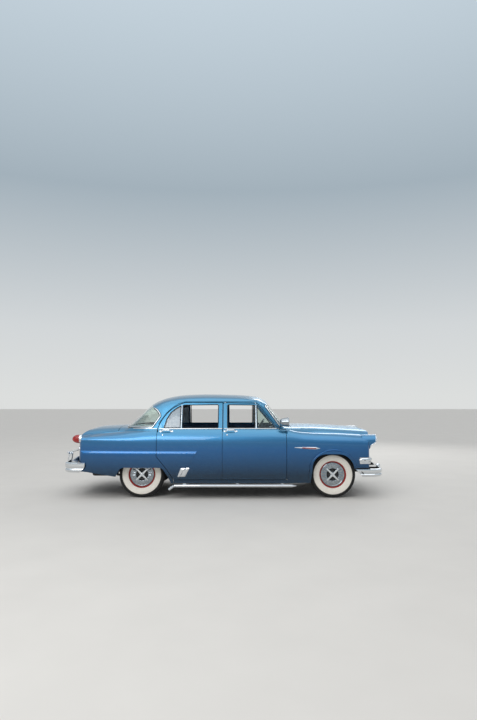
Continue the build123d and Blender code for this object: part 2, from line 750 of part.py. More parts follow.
# Bumpers: a bowed bar that wraps round the wings, with guards
def bumper(half_width, wrap_x, low_z, high_z, inset=0.0):
    """The space within a bumper's plan, from its wrapped ends forward."""
    with BuildPart() as bar:
        with BuildSketch(Plane.XY.offset(low_z)) as plan:
            Polygon(
                (wrap_x, half_width - inset), (bumper_x + 100, half_width - inset),
                (bumper_x + 100, -half_width + inset), (wrap_x, -half_width + inset), align=None,
            )
            with Locations((bumper_x - bumper_bow, 0)):
                Circle(bumper_bow - inset, mode=Mode.INTERSECT)
            fillet(plan.vertices().group_by(Axis.X)[-1], bumper_corner - inset)
        extrude(amount=high_z - low_z)
    return bar.part


def guard(y, low_z, high_z):
    """An upright guard on a bumper, leaning back to its rounded top."""
    with BuildPart() as post:
        with BuildSketch(Plane.XZ.offset(-y)):
            with BuildLine():
                FilletPolyline(
                    (guard_x - 34, low_z), (guard_x, low_z + 30), (guard_x, low_z + 100),
                    (guard_x - 36, high_z), (guard_x - 66, high_z), (guard_x - 66, low_z),
                    radius=10, close=True,
                )
            make_face()
        extrude(amount=guard_half, both=True)
    return post.part


def tooth_block(face_x, y):
    """One tooth of the grille."""
    with BuildPart() as tooth:
        with BuildSketch(Plane.XZ.offset(-y)):
            with BuildLine():
                FilletPolyline(
                    (face_x - 40, grille_z - 88), (face_x + 12, grille_z - 40), (face_x + 18, grille_z),
                    (face_x + 12, grille_z + 40), (face_x - 40, grille_z + 88), radius=16, close=True,
                )
            make_face()
        extrude(amount=21, both=True)
    return tooth.part


with BuildPart() as lamp_band:
    add(body_loft(-18, rear=2000, front=2400))
    add(ends(-20), mode=Mode.INTERSECT)
    add(body_solid.part, mode=Mode.SUBTRACT)
    add(block(2067, far * 2, -far, far, 524, 619), mode=Mode.INTERSECT)
    add(block(0, far * 2, -grille_half - 20, grille_half + 20, 0, far), mode=Mode.SUBTRACT)

with BuildSketch(Plane.XZ) as front_bumper_end:
    Polygon((1950, 460), (1998, 460), (2104, 350), (2104, 320), (1950, 320), align=None)

with BuildSketch(Plane.XZ) as rear_bumper_end:
    Polygon((2050, 460), (2100, 460), (2116, 420), (2150, 395), (2150, 380), (2050, 380), align=None)

with BuildPart() as front_bumper:
    add(bumper(front_bumper_half, 2000, 334, 450))
    fillet(front_bumper.faces().filter_by(Axis.Z).edges().group_by(Axis.X)[-1], 28)
    add(bumper(front_bumper_half, 1900, 300, 500, inset=bumper_plate), mode=Mode.SUBTRACT)
    add(across(front_bumper_end), mode=Mode.SUBTRACT)
    for side in (1, -1):
        add(guard(side * guard_y, 322, 478))
finish("front_bumper", front_bumper.part)

with BuildPart() as rear_bar:
    add(bumper(rear_bumper_half, 2092, 395, 544))
    fillet(rear_bar.faces().filter_by(Axis.Z).edges().group_by(Axis.X)[-1], 32)
    add(bumper(rear_bumper_half, 2000, 300, 600, inset=bumper_plate), mode=Mode.SUBTRACT)
    add(across(rear_bumper_end), mode=Mode.SUBTRACT)
    for side in (1, -1):
        add(guard(side * guard_y, 385, 668))

with BuildPart() as rear_bumper:
    mirror(rear_bar.part, about=Plane.YZ)
    with Locations(Plane((-2452, 0, 655), z_dir=(0, 1, 0))):
        Cylinder(17, 1120)
finish("rear_bumper", rear_bumper.part)

# Grille: a bowed bar with five teeth, and the parking lamp housings at its ends
with BuildPart() as grille:
    with BuildSketch(Plane.XY.offset(grille_z - 26)):
        with Locations((nose_x + 6 - nose_bow, 0)):
            Circle(nose_bow)
            Circle(nose_bow - 40, mode=Mode.SUBTRACT)
        with Locations((nose_x, 0)):
            Rectangle(200, 2 * (grille_half + 40), mode=Mode.INTERSECT)
    extrude(amount=52)
    with BuildSketch(Plane.YZ.offset(2000)):
        with Locations((0, grille_z)):
            SlotOverall(2 * grille_half, grille_height)
    extrude(amount=600, mode=Mode.INTERSECT)
    for tooth in range(-2, 3):
        tooth_y = tooth * tooth_pitch
        add(tooth_block(nose_x - tooth_y**2 / (2 * nose_bow), tooth_y))
    add(lamp_band.part)
finish("grille", grille.part)

# Lamps
with BuildPart() as headlamps:
    for side in (1, -1):
        with Locations(Plane((head_x + 70, side * head_y, head_z), z_dir=(1, 0, 0))):
            Cylinder(head_radius - head_rim - 0.5, 22, align=low_end)
        with BuildSketch(Plane((head_x + 92, side * head_y, head_z), x_dir=(1, 0, 0), z_dir=(0, -1, 0))):
            with BuildLine():
                lens = TangentArc((26, 0), (0, 88), tangent=(0, 1))
                Polyline(lens @ 1, (0, 0), lens @ 0)
            make_face()
        revolve(axis=Axis((0, side * head_y, head_z), (1, 0, 0)))
finish("headlamps", headlamps.part)

with BuildPart() as tail_lamps:
    for side in (1, -1):
        with BuildSketch(Plane((lamp_x, side * lamp_y, lamp_z), x_dir=(-1, 0, 0), z_dir=(0, 1, 0))):
            with BuildLine():
                tip = TangentArc((91, 0), (62, 37), tangent=(0, 1))
                Polyline(tip @ 1, (14, 55), (14, 60), (4, lamp_radius), (-60, lamp_radius), (-60, 0), tip @ 0)
            make_face()
        revolve(axis=Axis((0, side * lamp_y, lamp_z), (1, 0, 0)))
    add(body_solid.part, mode=Mode.SUBTRACT)
finish("tail_lamps", tail_lamps.part)

# Spotlights: only the right pillar carries one, whose stalk comes out of the pillar
with BuildPart() as spotlights:
    with BuildSketch(Plane((spot_x, spot_y, spot_z), x_dir=(1, 0, 0), z_dir=(0, -1, 0))):
        with BuildLine():
            bowl = TangentArc((-76, 0), (-30, 56), tangent=(0, 1))
            Polyline(bowl @ 1, (56, 72), (62, spot_radius), (68, 72), (68, 0), bowl @ 0)
        make_face()
    revolve(axis=Axis((0, spot_y, spot_z), (1, 0, 0)))
    with Locations(Plane((spot_x - 30, spot_y + 24, spot_z - 30), z_dir=(-50, 70, -42))):
        Cylinder(9, 100, align=low_end)
    add(house_loft(rear=600), mode=Mode.SUBTRACT)
finish("spotlights", spotlights.part)

# Pipes under the sills, each on three brackets
with BuildPart() as side_pipes:
    for side in (1, -1):
        with Locations(Plane((pipe_rear_x, side * pipe_y, pipe_z), z_dir=(1, 0, 0))):
            Cylinder(pipe_radius, pipe_length, align=low_end)
            with Locations((0, 0, pipe_length)):
                Cone(pipe_radius, 4, 68, align=low_end)
        with Locations(Plane((pipe_rear_x - 4, side * pipe_y, pipe_z + 3), z_dir=(-0.8, 0, -0.6))):
            Cylinder(pipe_radius, 96, align=low_end)
        for x in (-600, 200, 880):
            add(block(x, x + 30, side * 868, side * 892, pipe_z, 235))
finish("side_pipes", side_pipes.part)

# Cabin
with BuildSketch(Plane.XZ) as front_seat_side:
    with BuildLine():
        FilletPolyline(
            (540, 343), (560, 540), (540, 600), (60, 566), (-70, 1000), (-110, 1022), (-170, 990), (-60, 343),
            radius=18, close=True,
        )
    make_face()

with BuildPart() as front_seat:
    extrude(front_seat_side.sketch, amount=front_seat_half, both=True)
finish("front_seat", front_seat.part)

with BuildSketch(Plane.XZ) as rear_seat_side:
    Polygon(
        (-440, 343), (-430, 560), (-460, 600), (-900, 572), (-1020, 980), (-1060, 1010), (-1130, 990),
        (-1080, 538), (-812, 538), (-812, 343), align=None,
    )
    fillet(rear_seat_side.vertices().filter_by(lambda corner: corner.Y > 550), 14)

with BuildPart() as rear_seat:
    extrude(rear_seat_side.sketch, amount=rear_seat_half, both=True)
finish("rear_seat", rear_seat.part)

with BuildSketch(Plane.XZ) as dash_side:
    with BuildLine():
        FilletPolyline(
            (790, 870), (772, 960), (796, 1012), (850, 1022), (990, 1022), (990, 870), radius=14, close=True
        )
    make_face()

column_way = Vector(-0.85, 0, 0.5268)
wheel_spot = Vector(560, 380, 960)

with BuildPart() as dashboard:
    extrude(dash_side.sketch, amount=dash_half, both=True)
    with Locations(Plane(wheel_spot - column_way * 30.5, z_dir=-column_way)):
        Cylinder(24, 480, align=low_end)
    add(block(firewall_x, far, -far, far, 0, far), mode=Mode.SUBTRACT)
finish("dashboard", dashboard.part)

with BuildPart() as steering_wheel:
    with BuildSketch(Plane(wheel_spot, x_dir=(0, 1, 0), z_dir=Vector(0, 1, 0).cross(column_way))):
        with Locations((214, 0)):
            Circle(11)
    revolve(axis=Axis(wheel_spot, column_way))
    with Locations(Plane(wheel_spot - column_way * 30, z_dir=column_way)):
        Cylinder(38, 42, align=low_end)
    with Locations(Plane(wheel_spot - column_way * 8, x_dir=(0, 1, 0), z_dir=column_way)):
        Box(416, 22, 10)
        with Locations((0, -104, 0)):
            Box(22, 208, 10)
finish("steering_wheel", steering_wheel.part)

for name, piece in pieces.items():
    print(name, len(piece.solids()), round(piece.volume / 1e6, 2), piece.is_valid)
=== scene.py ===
import json
import math

import bpy
from mathutils import Matrix, Vector
from mathutils.bvhtree import BVHTree

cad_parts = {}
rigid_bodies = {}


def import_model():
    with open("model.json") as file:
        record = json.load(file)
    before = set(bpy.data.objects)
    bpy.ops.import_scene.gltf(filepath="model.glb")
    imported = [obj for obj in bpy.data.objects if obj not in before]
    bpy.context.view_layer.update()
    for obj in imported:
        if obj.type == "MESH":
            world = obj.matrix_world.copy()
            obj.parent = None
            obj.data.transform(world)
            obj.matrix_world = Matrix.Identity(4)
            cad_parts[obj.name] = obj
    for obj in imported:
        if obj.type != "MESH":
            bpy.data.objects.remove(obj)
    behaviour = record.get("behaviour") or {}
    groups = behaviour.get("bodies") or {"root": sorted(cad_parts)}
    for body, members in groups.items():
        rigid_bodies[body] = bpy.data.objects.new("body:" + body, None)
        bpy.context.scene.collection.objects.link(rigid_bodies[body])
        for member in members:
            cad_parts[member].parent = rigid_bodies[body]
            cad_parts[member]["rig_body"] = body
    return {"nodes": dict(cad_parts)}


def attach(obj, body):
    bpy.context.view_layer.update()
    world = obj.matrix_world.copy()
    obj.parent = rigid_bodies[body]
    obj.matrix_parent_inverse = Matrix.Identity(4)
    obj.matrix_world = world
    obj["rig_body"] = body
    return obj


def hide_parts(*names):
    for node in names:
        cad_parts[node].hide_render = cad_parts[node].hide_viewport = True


# A four-door saloon of the early 1950s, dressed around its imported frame.
# +X is forward, +Y its left, +Z up, in metres.
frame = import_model()
nodes = frame["nodes"]
homeBody = {name: node["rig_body"] for name, node in nodes.items()}
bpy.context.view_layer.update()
sides = {"left": 1, "right": -1}
fullTurn = 2 * math.pi
mergeWithin = 0.00002  # points this close to each other become one
outside = 1.5  # a distance from the middle that is clear of the car's side
print("frame loaded")


# Materials
def hexColour(code):  # sRGB hex to linear
    parts = [int(code[i:i + 2], 16) / 255 for i in (1, 3, 5)]
    return tuple(c / 12.92 if c <= 0.04045 else ((c + 0.055) / 1.055) ** 2.4 for c in parts) + (1.0,)


def addNode(tree, kind, inputs=None, **settings):
    node = tree.nodes.new(kind)
    for key, value in settings.items():
        setattr(node, key, value)
    for key, value in (inputs or {}).items():
        if isinstance(value, bpy.types.NodeSocket):
            tree.links.new(value, node.inputs[key])
        else:
            node.inputs[key].default_value = value
    return node


def startMaterial(name, **constants):
    material = bpy.data.materials.new(name)
    material.use_nodes = True
    tree = material.node_tree
    shader = tree.nodes["Principled BSDF"]
    for key, value in constants.items():
        shader.inputs[key.replace("_", " ")].default_value = value
    place = addNode(tree, "ShaderNodeTexCoord").outputs["Object"]
    return material, tree, shader, place


def noiseIn(tree, place, scale, detail):
    inputs = {"Vector": place, "Scale": scale, "Detail": detail}
    return addNode(tree, "ShaderNodeTexNoise", inputs).outputs["Fac"]


def waveIn(tree, place, scale, way, distortion=0.0):  # the waves are 314 mm / scale apart
    inputs = {"Vector": place, "Scale": scale, "Distortion": distortion}
    return addNode(tree, "ShaderNodeTexWave", inputs, bands_direction=way).outputs["Fac"]


def blend(tree, share, *tones):  # each of the two tones is a hex code or a socket
    first, second = (hexColour(tone) if isinstance(tone, str) else tone for tone in tones)
    return addNode(tree, "ShaderNodeMix", {0: share, 6: first, 7: second}, data_type="RGBA").outputs[2]


def spread(tree, value, low=0.0, high=1.0, start=0.0, end=1.0):  # start to end is carried to low to high
    inputs = {"Value": value, "From Min": start, "From Max": end, "To Min": low, "To Max": high}
    return addNode(tree, "ShaderNodeMapRange", inputs).outputs[0]


def plug(tree, shader, tone, shine, height=None, distance=0.0):
    tree.links.new(tone, shader.inputs["Base Color"])
    tree.links.new(shine, shader.inputs["Roughness"])
    if height is not None:
        relief = addNode(tree, "ShaderNodeBump", {"Height": height, "Strength": 1.0, "Distance": distance})
        tree.links.new(relief.outputs[0], shader.inputs["Normal"])


def mixedFinish(name, first, second, grain, rough, bump=0.0, bumpGrain=None, **constants):
    # two tones blended by a noise whose grain is in metres; roughness and relief follow noise too
    material, tree, shader, place = startMaterial(name, **constants)
    noise = noiseIn(tree, place, 1 / grain, 3.0)
    fine = noiseIn(tree, place, 1 / bumpGrain, 2.0) if bumpGrain else noise
    tone, shine = blend(tree, noise, first, second), spread(tree, noise, *rough)
    plug(tree, shader, tone, shine, fine if bump else None, bump)
    return material


# metallic enamel under a clear coat: the flake is drawn 3 mm coarse so that it shows,
# and three tones by height paint shade into the colour below the belt and a highlight towards the top
paint = {"flake": 0.003, "sparkle": "#5fa6d2", "peelScale": 70.0, "peel": 0.00008,
         "tones": ((0.35, "#06233b"), (0.75, "#125d9a"), (1.02, "#3f82a6"))}
enamelBlue, tree, shader, place = startMaterial(
    "metallicEnamelBlue", Metallic=0.8, Coat_Weight=0.8, Coat_Roughness=0.02)
flake = noiseIn(tree, place, 1 / paint["flake"], 2.0)
height = addNode(tree, "ShaderNodeSeparateXYZ", {0: place}).outputs["Z"]
(lowZ, paintedShadeTone), (midZ, midTone), (highZ, paintedHighlightTone) = paint["tones"]
# painted shade: the low tone darkens the sills; painted highlight: the high tone lightens the shoulder and
# roof
tone = blend(tree, spread(tree, height, start=lowZ, end=midZ), paintedShadeTone, midTone)
tone = blend(tree, spread(tree, height, start=midZ, end=highZ), tone, paintedHighlightTone)
tone = blend(tree, spread(tree, flake, 0.0, 0.5, 0.5, 0.8), tone, paint["sparkle"])
peel = noiseIn(tree, place, paint["peelScale"], 1.0)
plug(tree, shader, tone, spread(tree, flake, 0.26, 0.4), peel, paint["peel"])

# chromium plate over polished steel: near mirror, faintly clouded
chromePlate = mixedFinish("chromePlate", "#d4d8dc", "#e9ecee", 0.02, (0.04, 0.12), Metallic=1.0)
# chromium plate of the wheel caps and spotlight, greyer than the trim: the grey is painted dark reflection,
# with a little haze
darkReflectionChrome = mixedFinish("chromePaintedDarkReflection", "#7f868c", "#b7bdc2", 0.03, (0.05, 0.16), Metallic=1.0)
# satin black chassis enamel, dusty
chassisBlack = mixedFinish("chassisEnamelBlack", "#161514", "#2a2724", 0.05, (0.45, 0.75), 0.0004, 0.004)
# cast iron under dull engine enamel
castIron = mixedFinish("enginePaintOnIron", "#27303a", "#39434c", 0.03, (0.4, 0.65), 0.0006, 0.003,
                       Metallic=0.2)
# rubber with carbon black: dull, dusty in the grooves
treadRubber = mixedFinish("tyreRubberBlack", "#141415", "#232323", 0.01, (0.7, 0.9), 0.0003, 0.002)
# white sidewall rubber: smooth and slightly warm with road dust
whitewallRubber = mixedFinish("whitewallRubber", "#f6f3eb", "#e6e0d3", 0.03, (0.42, 0.6), 0.0002, 0.004)
# red wheel enamel
wheelRed = mixedFinish("wheelEnamelRed", "#8e1f17", "#a42a1f", 0.02, (0.16, 0.28),
                       Coat_Weight=0.6, Coat_Roughness=0.05)
# black enamel in the recesses of the caps and on engine fittings, and painted shade in the pod openings and
# bumper slots
blackEnamelAndPaintedShade = mixedFinish("blackEnamelAndShade", "#0e0f11", "#191b1e", 0.02, (0.3, 0.5))
# moulded red acrylic lens
lensRed = mixedFinish("acrylicLensRed", "#a80e10", "#c4201a", 0.01, (0.08, 0.16),
                      Transmission_Weight=0.35, IOR=1.49, Coat_Weight=0.5)
# woven headlining cloth
headlining = mixedFinish("headliningCloth", "#8d9298", "#a3a8ad", 0.002, (0.85, 0.95), 0.0005,
                         Sheen_Weight=0.3)
# deep pile carpet
carpetPile = mixedFinish("carpetPile", "#1b2a40", "#2b3d57", 0.004, (0.9, 1.0), 0.003, Sheen_Weight=0.4)
# black rubber of seals, mats and pedals
sealRubber = mixedFinish("sealRubber", "#121213", "#1d1d1e", 0.01, (0.55, 0.75), 0.0002)
# leathercloth with a pressed grain of about 2 mm, in blue and in grey
trimVinyl = mixedFinish("leatherclothBlue", "#23405f", "#2e5075", 0.05, (0.42, 0.55), 0.0004, 0.002,
                        Coat_Weight=0.15)
trimPale = mixedFinish("leatherclothGrey", "#a9adae", "#bfc2c2", 0.05, (0.45, 0.6), 0.0004, 0.002)
# moulded plastic of the steering wheel
wheelPlastic = mixedFinish("wheelPlasticBlue", "#14253b", "#1d3350", 0.02, (0.2, 0.3), Coat_Weight=0.4)
# dashboard enamel, semi gloss
dashEnamel = mixedFinish("dashEnamelBlue", "#1c3f6d", "#24497a", 0.004, (0.25, 0.4), Metallic=0.3)
# brass and copper of the radiator core, blackened
coreMetal = mixedFinish("radiatorCore", "#1d1b19", "#33302c", 0.004, (0.5, 0.7), 0.001)
# machined bare steel
bareSteel = mixedFinish("turnedSteel", "#6f7072", "#8d8f91", 0.01, (0.3, 0.5), Metallic=1.0)
# ivory dial face
dialIvory = mixedFinish("dialIvory", "#d8d2c0", "#e4dfd0", 0.01, (0.35, 0.5))
# the quarter lights' glass, pale grey and only partly clear: the grey film is a painted sky reflection
paleGlassPaintedReflection = mixedFinish("paleGlassPaintedReflection", "#9fb0bd", "#b7c5ce", 0.15, (0.05, 0.12),
                           Transmission_Weight=0.25, IOR=1.5, Coat_Weight=0.4)

# laminated safety glass, faintly green
clearGlass, tree, shader, place = startMaterial("safetyGlass", Transmission_Weight=1.0, IOR=1.5)
smear = noiseIn(tree, place, 6.0, 3.0)
plug(tree, shader, blend(tree, smear, "#e6f2ec", "#eef7f3"), spread(tree, smear, 0.0, 0.04, 0.35, 0.8))

# pressed lamp glass with vertical flutes 16 mm apart
lampGlass, tree, shader, place = startMaterial(
    "flutedLampGlass", Transmission_Weight=0.75, IOR=1.5, Coat_Weight=0.5)
flutes = waveIn(tree, place, 20.0, "Y")
tone = blend(tree, flutes, "#dfe5e6", "#f4f7f7")
plug(tree, shader, tone, spread(tree, flutes, 0.03, 0.1), flutes, 0.0012)

# cloth of the seats, woven with a rib of 8 by 5 mm that is drawn coarse so that it shows
seatCloth, tree, shader, place = startMaterial("seatClothWoven", Sheen_Weight=0.4)
threads = {0: waveIn(tree, place, 40.0, "Y", 0.4), 1: waveIn(tree, place, 60.0, "X", 0.4)}
weave = addNode(tree, "ShaderNodeMath", threads, operation="MULTIPLY").outputs[0]
tone = blend(tree, weave, "#22354d", "#4a6382")
plug(tree, shader, tone, spread(tree, weave, 0.75, 0.95), weave, 0.0006)
print("materials mixed")


# Ways of making a piece
def takeUp(piece=None):  # the only selected and active object, or none selected
    if bpy.context.object and bpy.context.object.mode != "OBJECT":
        bpy.ops.object.mode_set(mode="OBJECT")
    bpy.ops.object.select_all(action="DESELECT")
    if piece:
        piece.select_set(True)
        bpy.context.view_layer.objects.active = piece


def editAll(piece, operation, **settings):  # one mesh operation on the whole of a piece
    takeUp(piece)
    bpy.ops.object.mode_set(mode="EDIT")
    bpy.ops.mesh.select_all(action="SELECT")
    operation(**settings)
    bpy.ops.object.mode_set(mode="OBJECT")


def linked(name, mesh):
    piece = bpy.data.objects.new(name, mesh)
    bpy.context.scene.collection.objects.link(piece)
    return piece


def pieceFrom(name, points, faces, edges=()):
    mesh = bpy.data.meshes.new(name)
    mesh.from_pydata(points, list(edges), faces)
    return linked(name, mesh)


def cleanNormals(piece, merge=mergeWithin):
    editAll(piece, bpy.ops.mesh.remove_doubles, threshold=merge)
    editAll(piece, bpy.ops.mesh.normals_make_consistent, inside=False)


def settle(piece, name, body, finish=None, angle=35, hides=()):
    # place goes into the mesh, the shading is smoothed and the piece rides on its body
    takeUp(piece)
    bpy.ops.object.transform_apply(location=True, rotation=True, scale=True)
    piece.name = piece.data.name = name
    if finish:
        piece.data.materials.clear()
        piece.data.materials.append(finish)
    bpy.ops.object.shade_smooth_by_angle(angle=math.radians(angle))
    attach(piece, body)
    if hides:
        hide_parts(*hides)
    return piece


def bright(piece, name, body="car", angle=40, hides=()):  # chromium plated trim
    return settle(piece, name, body, chromePlate, angle, hides)


def addModifier(piece, kind, **settings):
    takeUp(piece)
    modifier = piece.modifiers.new(kind.title(), kind)
    for key, value in settings.items():
        setattr(modifier, key, value)
    bpy.ops.object.modifier_apply(modifier=modifier.name)


def moved(piece, *matrices):  # the first matrix is the last to act
    for matrix in reversed(matrices):
        piece.data.transform(matrix)
    return piece


def shift(x, y, z):
    return Matrix.Translation((x, y, z))


def turn(degrees, axis):
    return Matrix.Rotation(math.radians(degrees), 4, axis)


def scaled(x, y, z):
    return Matrix.Diagonal((x, y, z, 1))


def joinAll(pieces, name="joined"):
    takeUp(pieces[0])
    for piece in pieces:
        piece.select_set(True)
    bpy.ops.object.join()
    pieces[0].name = name
    return pieces[0]


def mergedCopy(nodeName, name="copy"):
    piece = linked(name, nodes[nodeName].data.copy())
    takeUp(piece)
    bpy.ops.mesh.customdata_custom_splitnormals_clear()
    editAll(piece, bpy.ops.mesh.remove_doubles, threshold=mergeWithin)
    return piece


def firstFinish(centre, normal):
    return 0


def paintFaces(piece, finishes, choose=firstFinish):  # choose gives the number of a face's finish
    piece.data.materials.clear()
    for finish in finishes:
        piece.data.materials.append(finish)
    for face in piece.data.polygons:
        face.material_index = choose(face.center, face.normal)
    return piece


def treeOf(meshes):
    points, faces = [], []
    for mesh in meshes:
        start = len(points)
        points += [vertex.co.copy() for vertex in mesh.vertices]
        faces += [[start + index for index in face.vertices] for face in mesh.polygons]
    return BVHTree.FromPolygons(points, faces)


def skinOf(*names):
    return treeOf([nodes[name].data for name in names])


def cast(skin, start, way):  # where a ray meets the skin, and the normal there, turned against the ray
    hit, normal, _, _ = skin.ray_cast(Vector(start), Vector(way))
    if hit is None:
        return None
    return hit, normal if normal.dot(Vector(way)) < 0 else -normal


def castRow(skin, starts, way):  # the hits of parallel rays, and their normals
    met = [found for found in (cast(skin, start, way) for start in starts) if found]
    return [hit for hit, _ in met], [normal for _, normal in met]


def onSide(skin, x, z, side):  # the outer skin met from the side
    return cast(skin, (x, side * outside, z), (0, -side, 0))


def spaced(first, last, gaps):  # evenly spaced numbers, both ends included
    return [first + (last - first) * i / gaps for i in range(gaps + 1)]


def sweep(path, outward, section, closed=False, shrink=None):
    # a section of (across, out) pairs carried along the path; shrink gives its size at each point,
    # and one direction in outward holds for the whole path
    path = [Vector(point) for point in path]
    if not hasattr(outward[0], "__len__"):
        outward = [outward] * len(path)
    count, width = len(path), len(section)
    points, faces = [], []
    for i, here in enumerate(path):
        before = path[i - 1] if i or closed else here
        after = path[(i + 1) % count] if i < count - 1 or closed else here
        along = (after - before).normalized()
        out = Vector(outward[i])
        out = (out - along * out.dot(along)).normalized()
        across = along.cross(out)
        size = shrink[i] if shrink else 1.0
        points += [here + across * a * size + out * o * size for a, o in section]
    for i in range(count if closed else count - 1):
        for j in range(width):
            a, b = i * width + j, i * width + (j + 1) % width
            c, d = ((i + 1) % count) * width + (j + 1) % width, ((i + 1) % count) * width + j
            faces.append((a, d, c, b))
    if not closed:
        faces.append(tuple(range(width)))
        faces.append(tuple(reversed(range((count - 1) * width, count * width))))
    piece = pieceFrom("sweep", points, faces)
    cleanNormals(piece)
    return piece


def halfRound(width, rise, sink=0.003, steps=6):  # section of a bright strip, let a little into the panel
    arc = [(-width / 2 * math.cos(a), rise * math.sin(a)) for a in spaced(0, math.pi, steps)]
    return [(-width / 2, -sink)] + arc + [(width / 2, -sink)]


def oval(across, out, steps):
    return [(across * math.cos(a), out * math.sin(a)) for a in spaced(0, fullTurn, steps)[:-1]]


def turned(profile, steps=64):  # a profile of (radius, along y) spun about the y axis
    points = [(radius, along, 0) for radius, along in profile]
    piece = pieceFrom("turned", points, [], [(i, i + 1) for i in range(len(points) - 1)])
    editAll(piece, bpy.ops.mesh.spin, steps=steps, angle=fullTurn, center=(0, 0, 0), axis=(0, 1, 0))
    cleanNormals(piece, 0.00005)
    return piece


def boss(profile, place, normal, squash=(1, 1, 1), steps=32):  # a turned fitting stood on the skin
    lean = Vector((0, -1, 0)).rotation_difference(Vector(normal)).to_matrix().to_4x4()
    return moved(turned(profile, steps), Matrix.Translation(place) @ lean, scaled(*squash))


def slab(outline, y1, y2, bevel=0.01, segments=2):  # an (x, z) outline pulled across the car and rounded
    piece = pieceFrom("slab", [(x, y1, z) for x, z in outline], [tuple(range(len(outline)))])
    editAll(piece, bpy.ops.mesh.extrude_region_move, TRANSFORM_OT_translate={"value": (0, y2 - y1, 0)})
    cleanNormals(piece)
    if bevel:
        addModifier(piece, "BEVEL", width=bevel, segments=segments, limit_method="NONE")
    return piece


def box(x1, z1, x2, z2):  # an outline for slab
    return [(x1, z1), (x2, z1), (x2, z2), (x1, z2)]


# Painted panels: the frame's own solids, merged and smoothed over their strips
doorCard = {"facing": -0.25, "below": 1.04, "length": (-1.02, 0.97), "within": 0.86}
roofLining = {"facing": -0.2, "above": 1.05, "within": 0.66}


def doorFinish(centre, normal):  # the inner face of a door is trimmed
    inward = normal.y * (1 if centre.y > 0 else -1) < doorCard["facing"]
    rearX, frontX = doorCard["length"]
    inside = rearX < centre.x < frontX and abs(centre.y) < doorCard["within"]
    return int(inward and inside and centre.z < doorCard["below"])


def roofFinish(centre, normal):  # the underside of the roof is lined
    lined = normal.z < roofLining["facing"] and centre.z > roofLining["above"]
    return 2 if lined and abs(centre.y) < roofLining["within"] else 0


panelNames = (
    "roof_panel", "quarter_panels", "boot_lid", "tail_panel", "front_fenders", "bonnet", "front_panel",
    "cowl", "front_door_left", "front_door_right", "rear_door_left", "rear_door_right", "sills",
)
for nodeName in panelNames:
    panel = mergedCopy(nodeName)
    choose = roofFinish if nodeName == "roof_panel" else doorFinish if "door" in nodeName else firstFinish
    paintFaces(panel, (enamelBlue, trimVinyl, headlining), choose)
    settle(panel, "painted_" + nodeName, homeBody[nodeName], angle=28, hides=(nodeName,))
print("panels painted")

# Glass and bright metal that keep their solid's shape, merged and smoothed like the panels
smoothCopies = {
    "windscreen": clearGlass, "rear_screen": clearGlass, "vent_glass_left": clearGlass,
    # the quarter lights carry a painted pale reflection in their colour
    "vent_glass_right": clearGlass, "quarter_glass_left": paleGlassPaintedReflection, "quarter_glass_right": paleGlassPaintedReflection,
    "side_pipes": chromePlate,
}
for nodeName, finish in smoothCopies.items():
    slot = "bright_trim" if finish == chromePlate else "window_glass"
    settle(mergedCopy(nodeName), "smooth_" + nodeName, homeBody[nodeName], finish, 30, (nodeName,))

# Finishes for the solids that stay as they are
stayingFinish = {
    chassisBlack: ("wheel_wells", "floor_pan", "firewall", "aprons", "chassis_frame", "driveline",
                   "fuel_tank", "front_suspension", "knuckle_left", "knuckle_right"),
    castIron: ("engine_block",), coreMetal: ("radiator",), dashEnamel: ("dashboard",),
    wheelPlastic: ("steering_wheel",), lampGlass: ("headlamps",),
}
for finish, names in stayingFinish.items():
    for nodeName in names:
        nodes[nodeName].data.materials.clear()
        nodes[nodeName].data.materials.append(finish)


def fromAxle(point):  # distance from the y axis
    return math.hypot(point.x, point.z)


# Tyres: zigzag grooves round the tread, and a white band on the outer face, which is towards -y
tyreSizes = {"steps": 120, "treadFrom": 0.338, "treadHalf": 0.05, "zigzag": 0.0025, "white": (0.208, 0.2965)}
outer = [
    (0.203, 0.058), (0.2055, 0.066), (0.211, 0.0715), (0.216, 0.0745), (0.24, 0.0805), (0.268, 0.0845),
    (0.29, 0.0845), (0.2945, 0.0838), (0.2965, 0.0812), (0.306, 0.0802), (0.322, 0.077), (0.334, 0.0705),
    (0.3415, 0.0625), (0.3455, 0.054), (0.347, 0.047), (0.3405, 0.0455), (0.3405, 0.0405), (0.3485, 0.039),
    (0.3495, 0.0205), (0.3425, 0.019), (0.3425, 0.014), (0.35, 0.0125),
]
profile = [(radius, -y) for radius, y in outer] + [(radius, y) for radius, y in reversed(outer)]
tyre = turned(profile + profile[:1], tyreSizes["steps"])
for vertex in tyre.data.vertices:
    if fromAxle(vertex.co) > tyreSizes["treadFrom"] and abs(vertex.co.y) < tyreSizes["treadHalf"]:
        step = round(math.atan2(vertex.co.z, vertex.co.x) / fullTurn * tyreSizes["steps"])
        vertex.co.y += tyreSizes["zigzag"] * (1 if step % 2 else -1)


def tyreFinish(centre, normal):
    low, high = tyreSizes["white"]
    return int(low < fromAxle(centre) < high and centre.y < 0)


paintFaces(tyre, (treadRubber, whitewallRubber), tyreFinish)

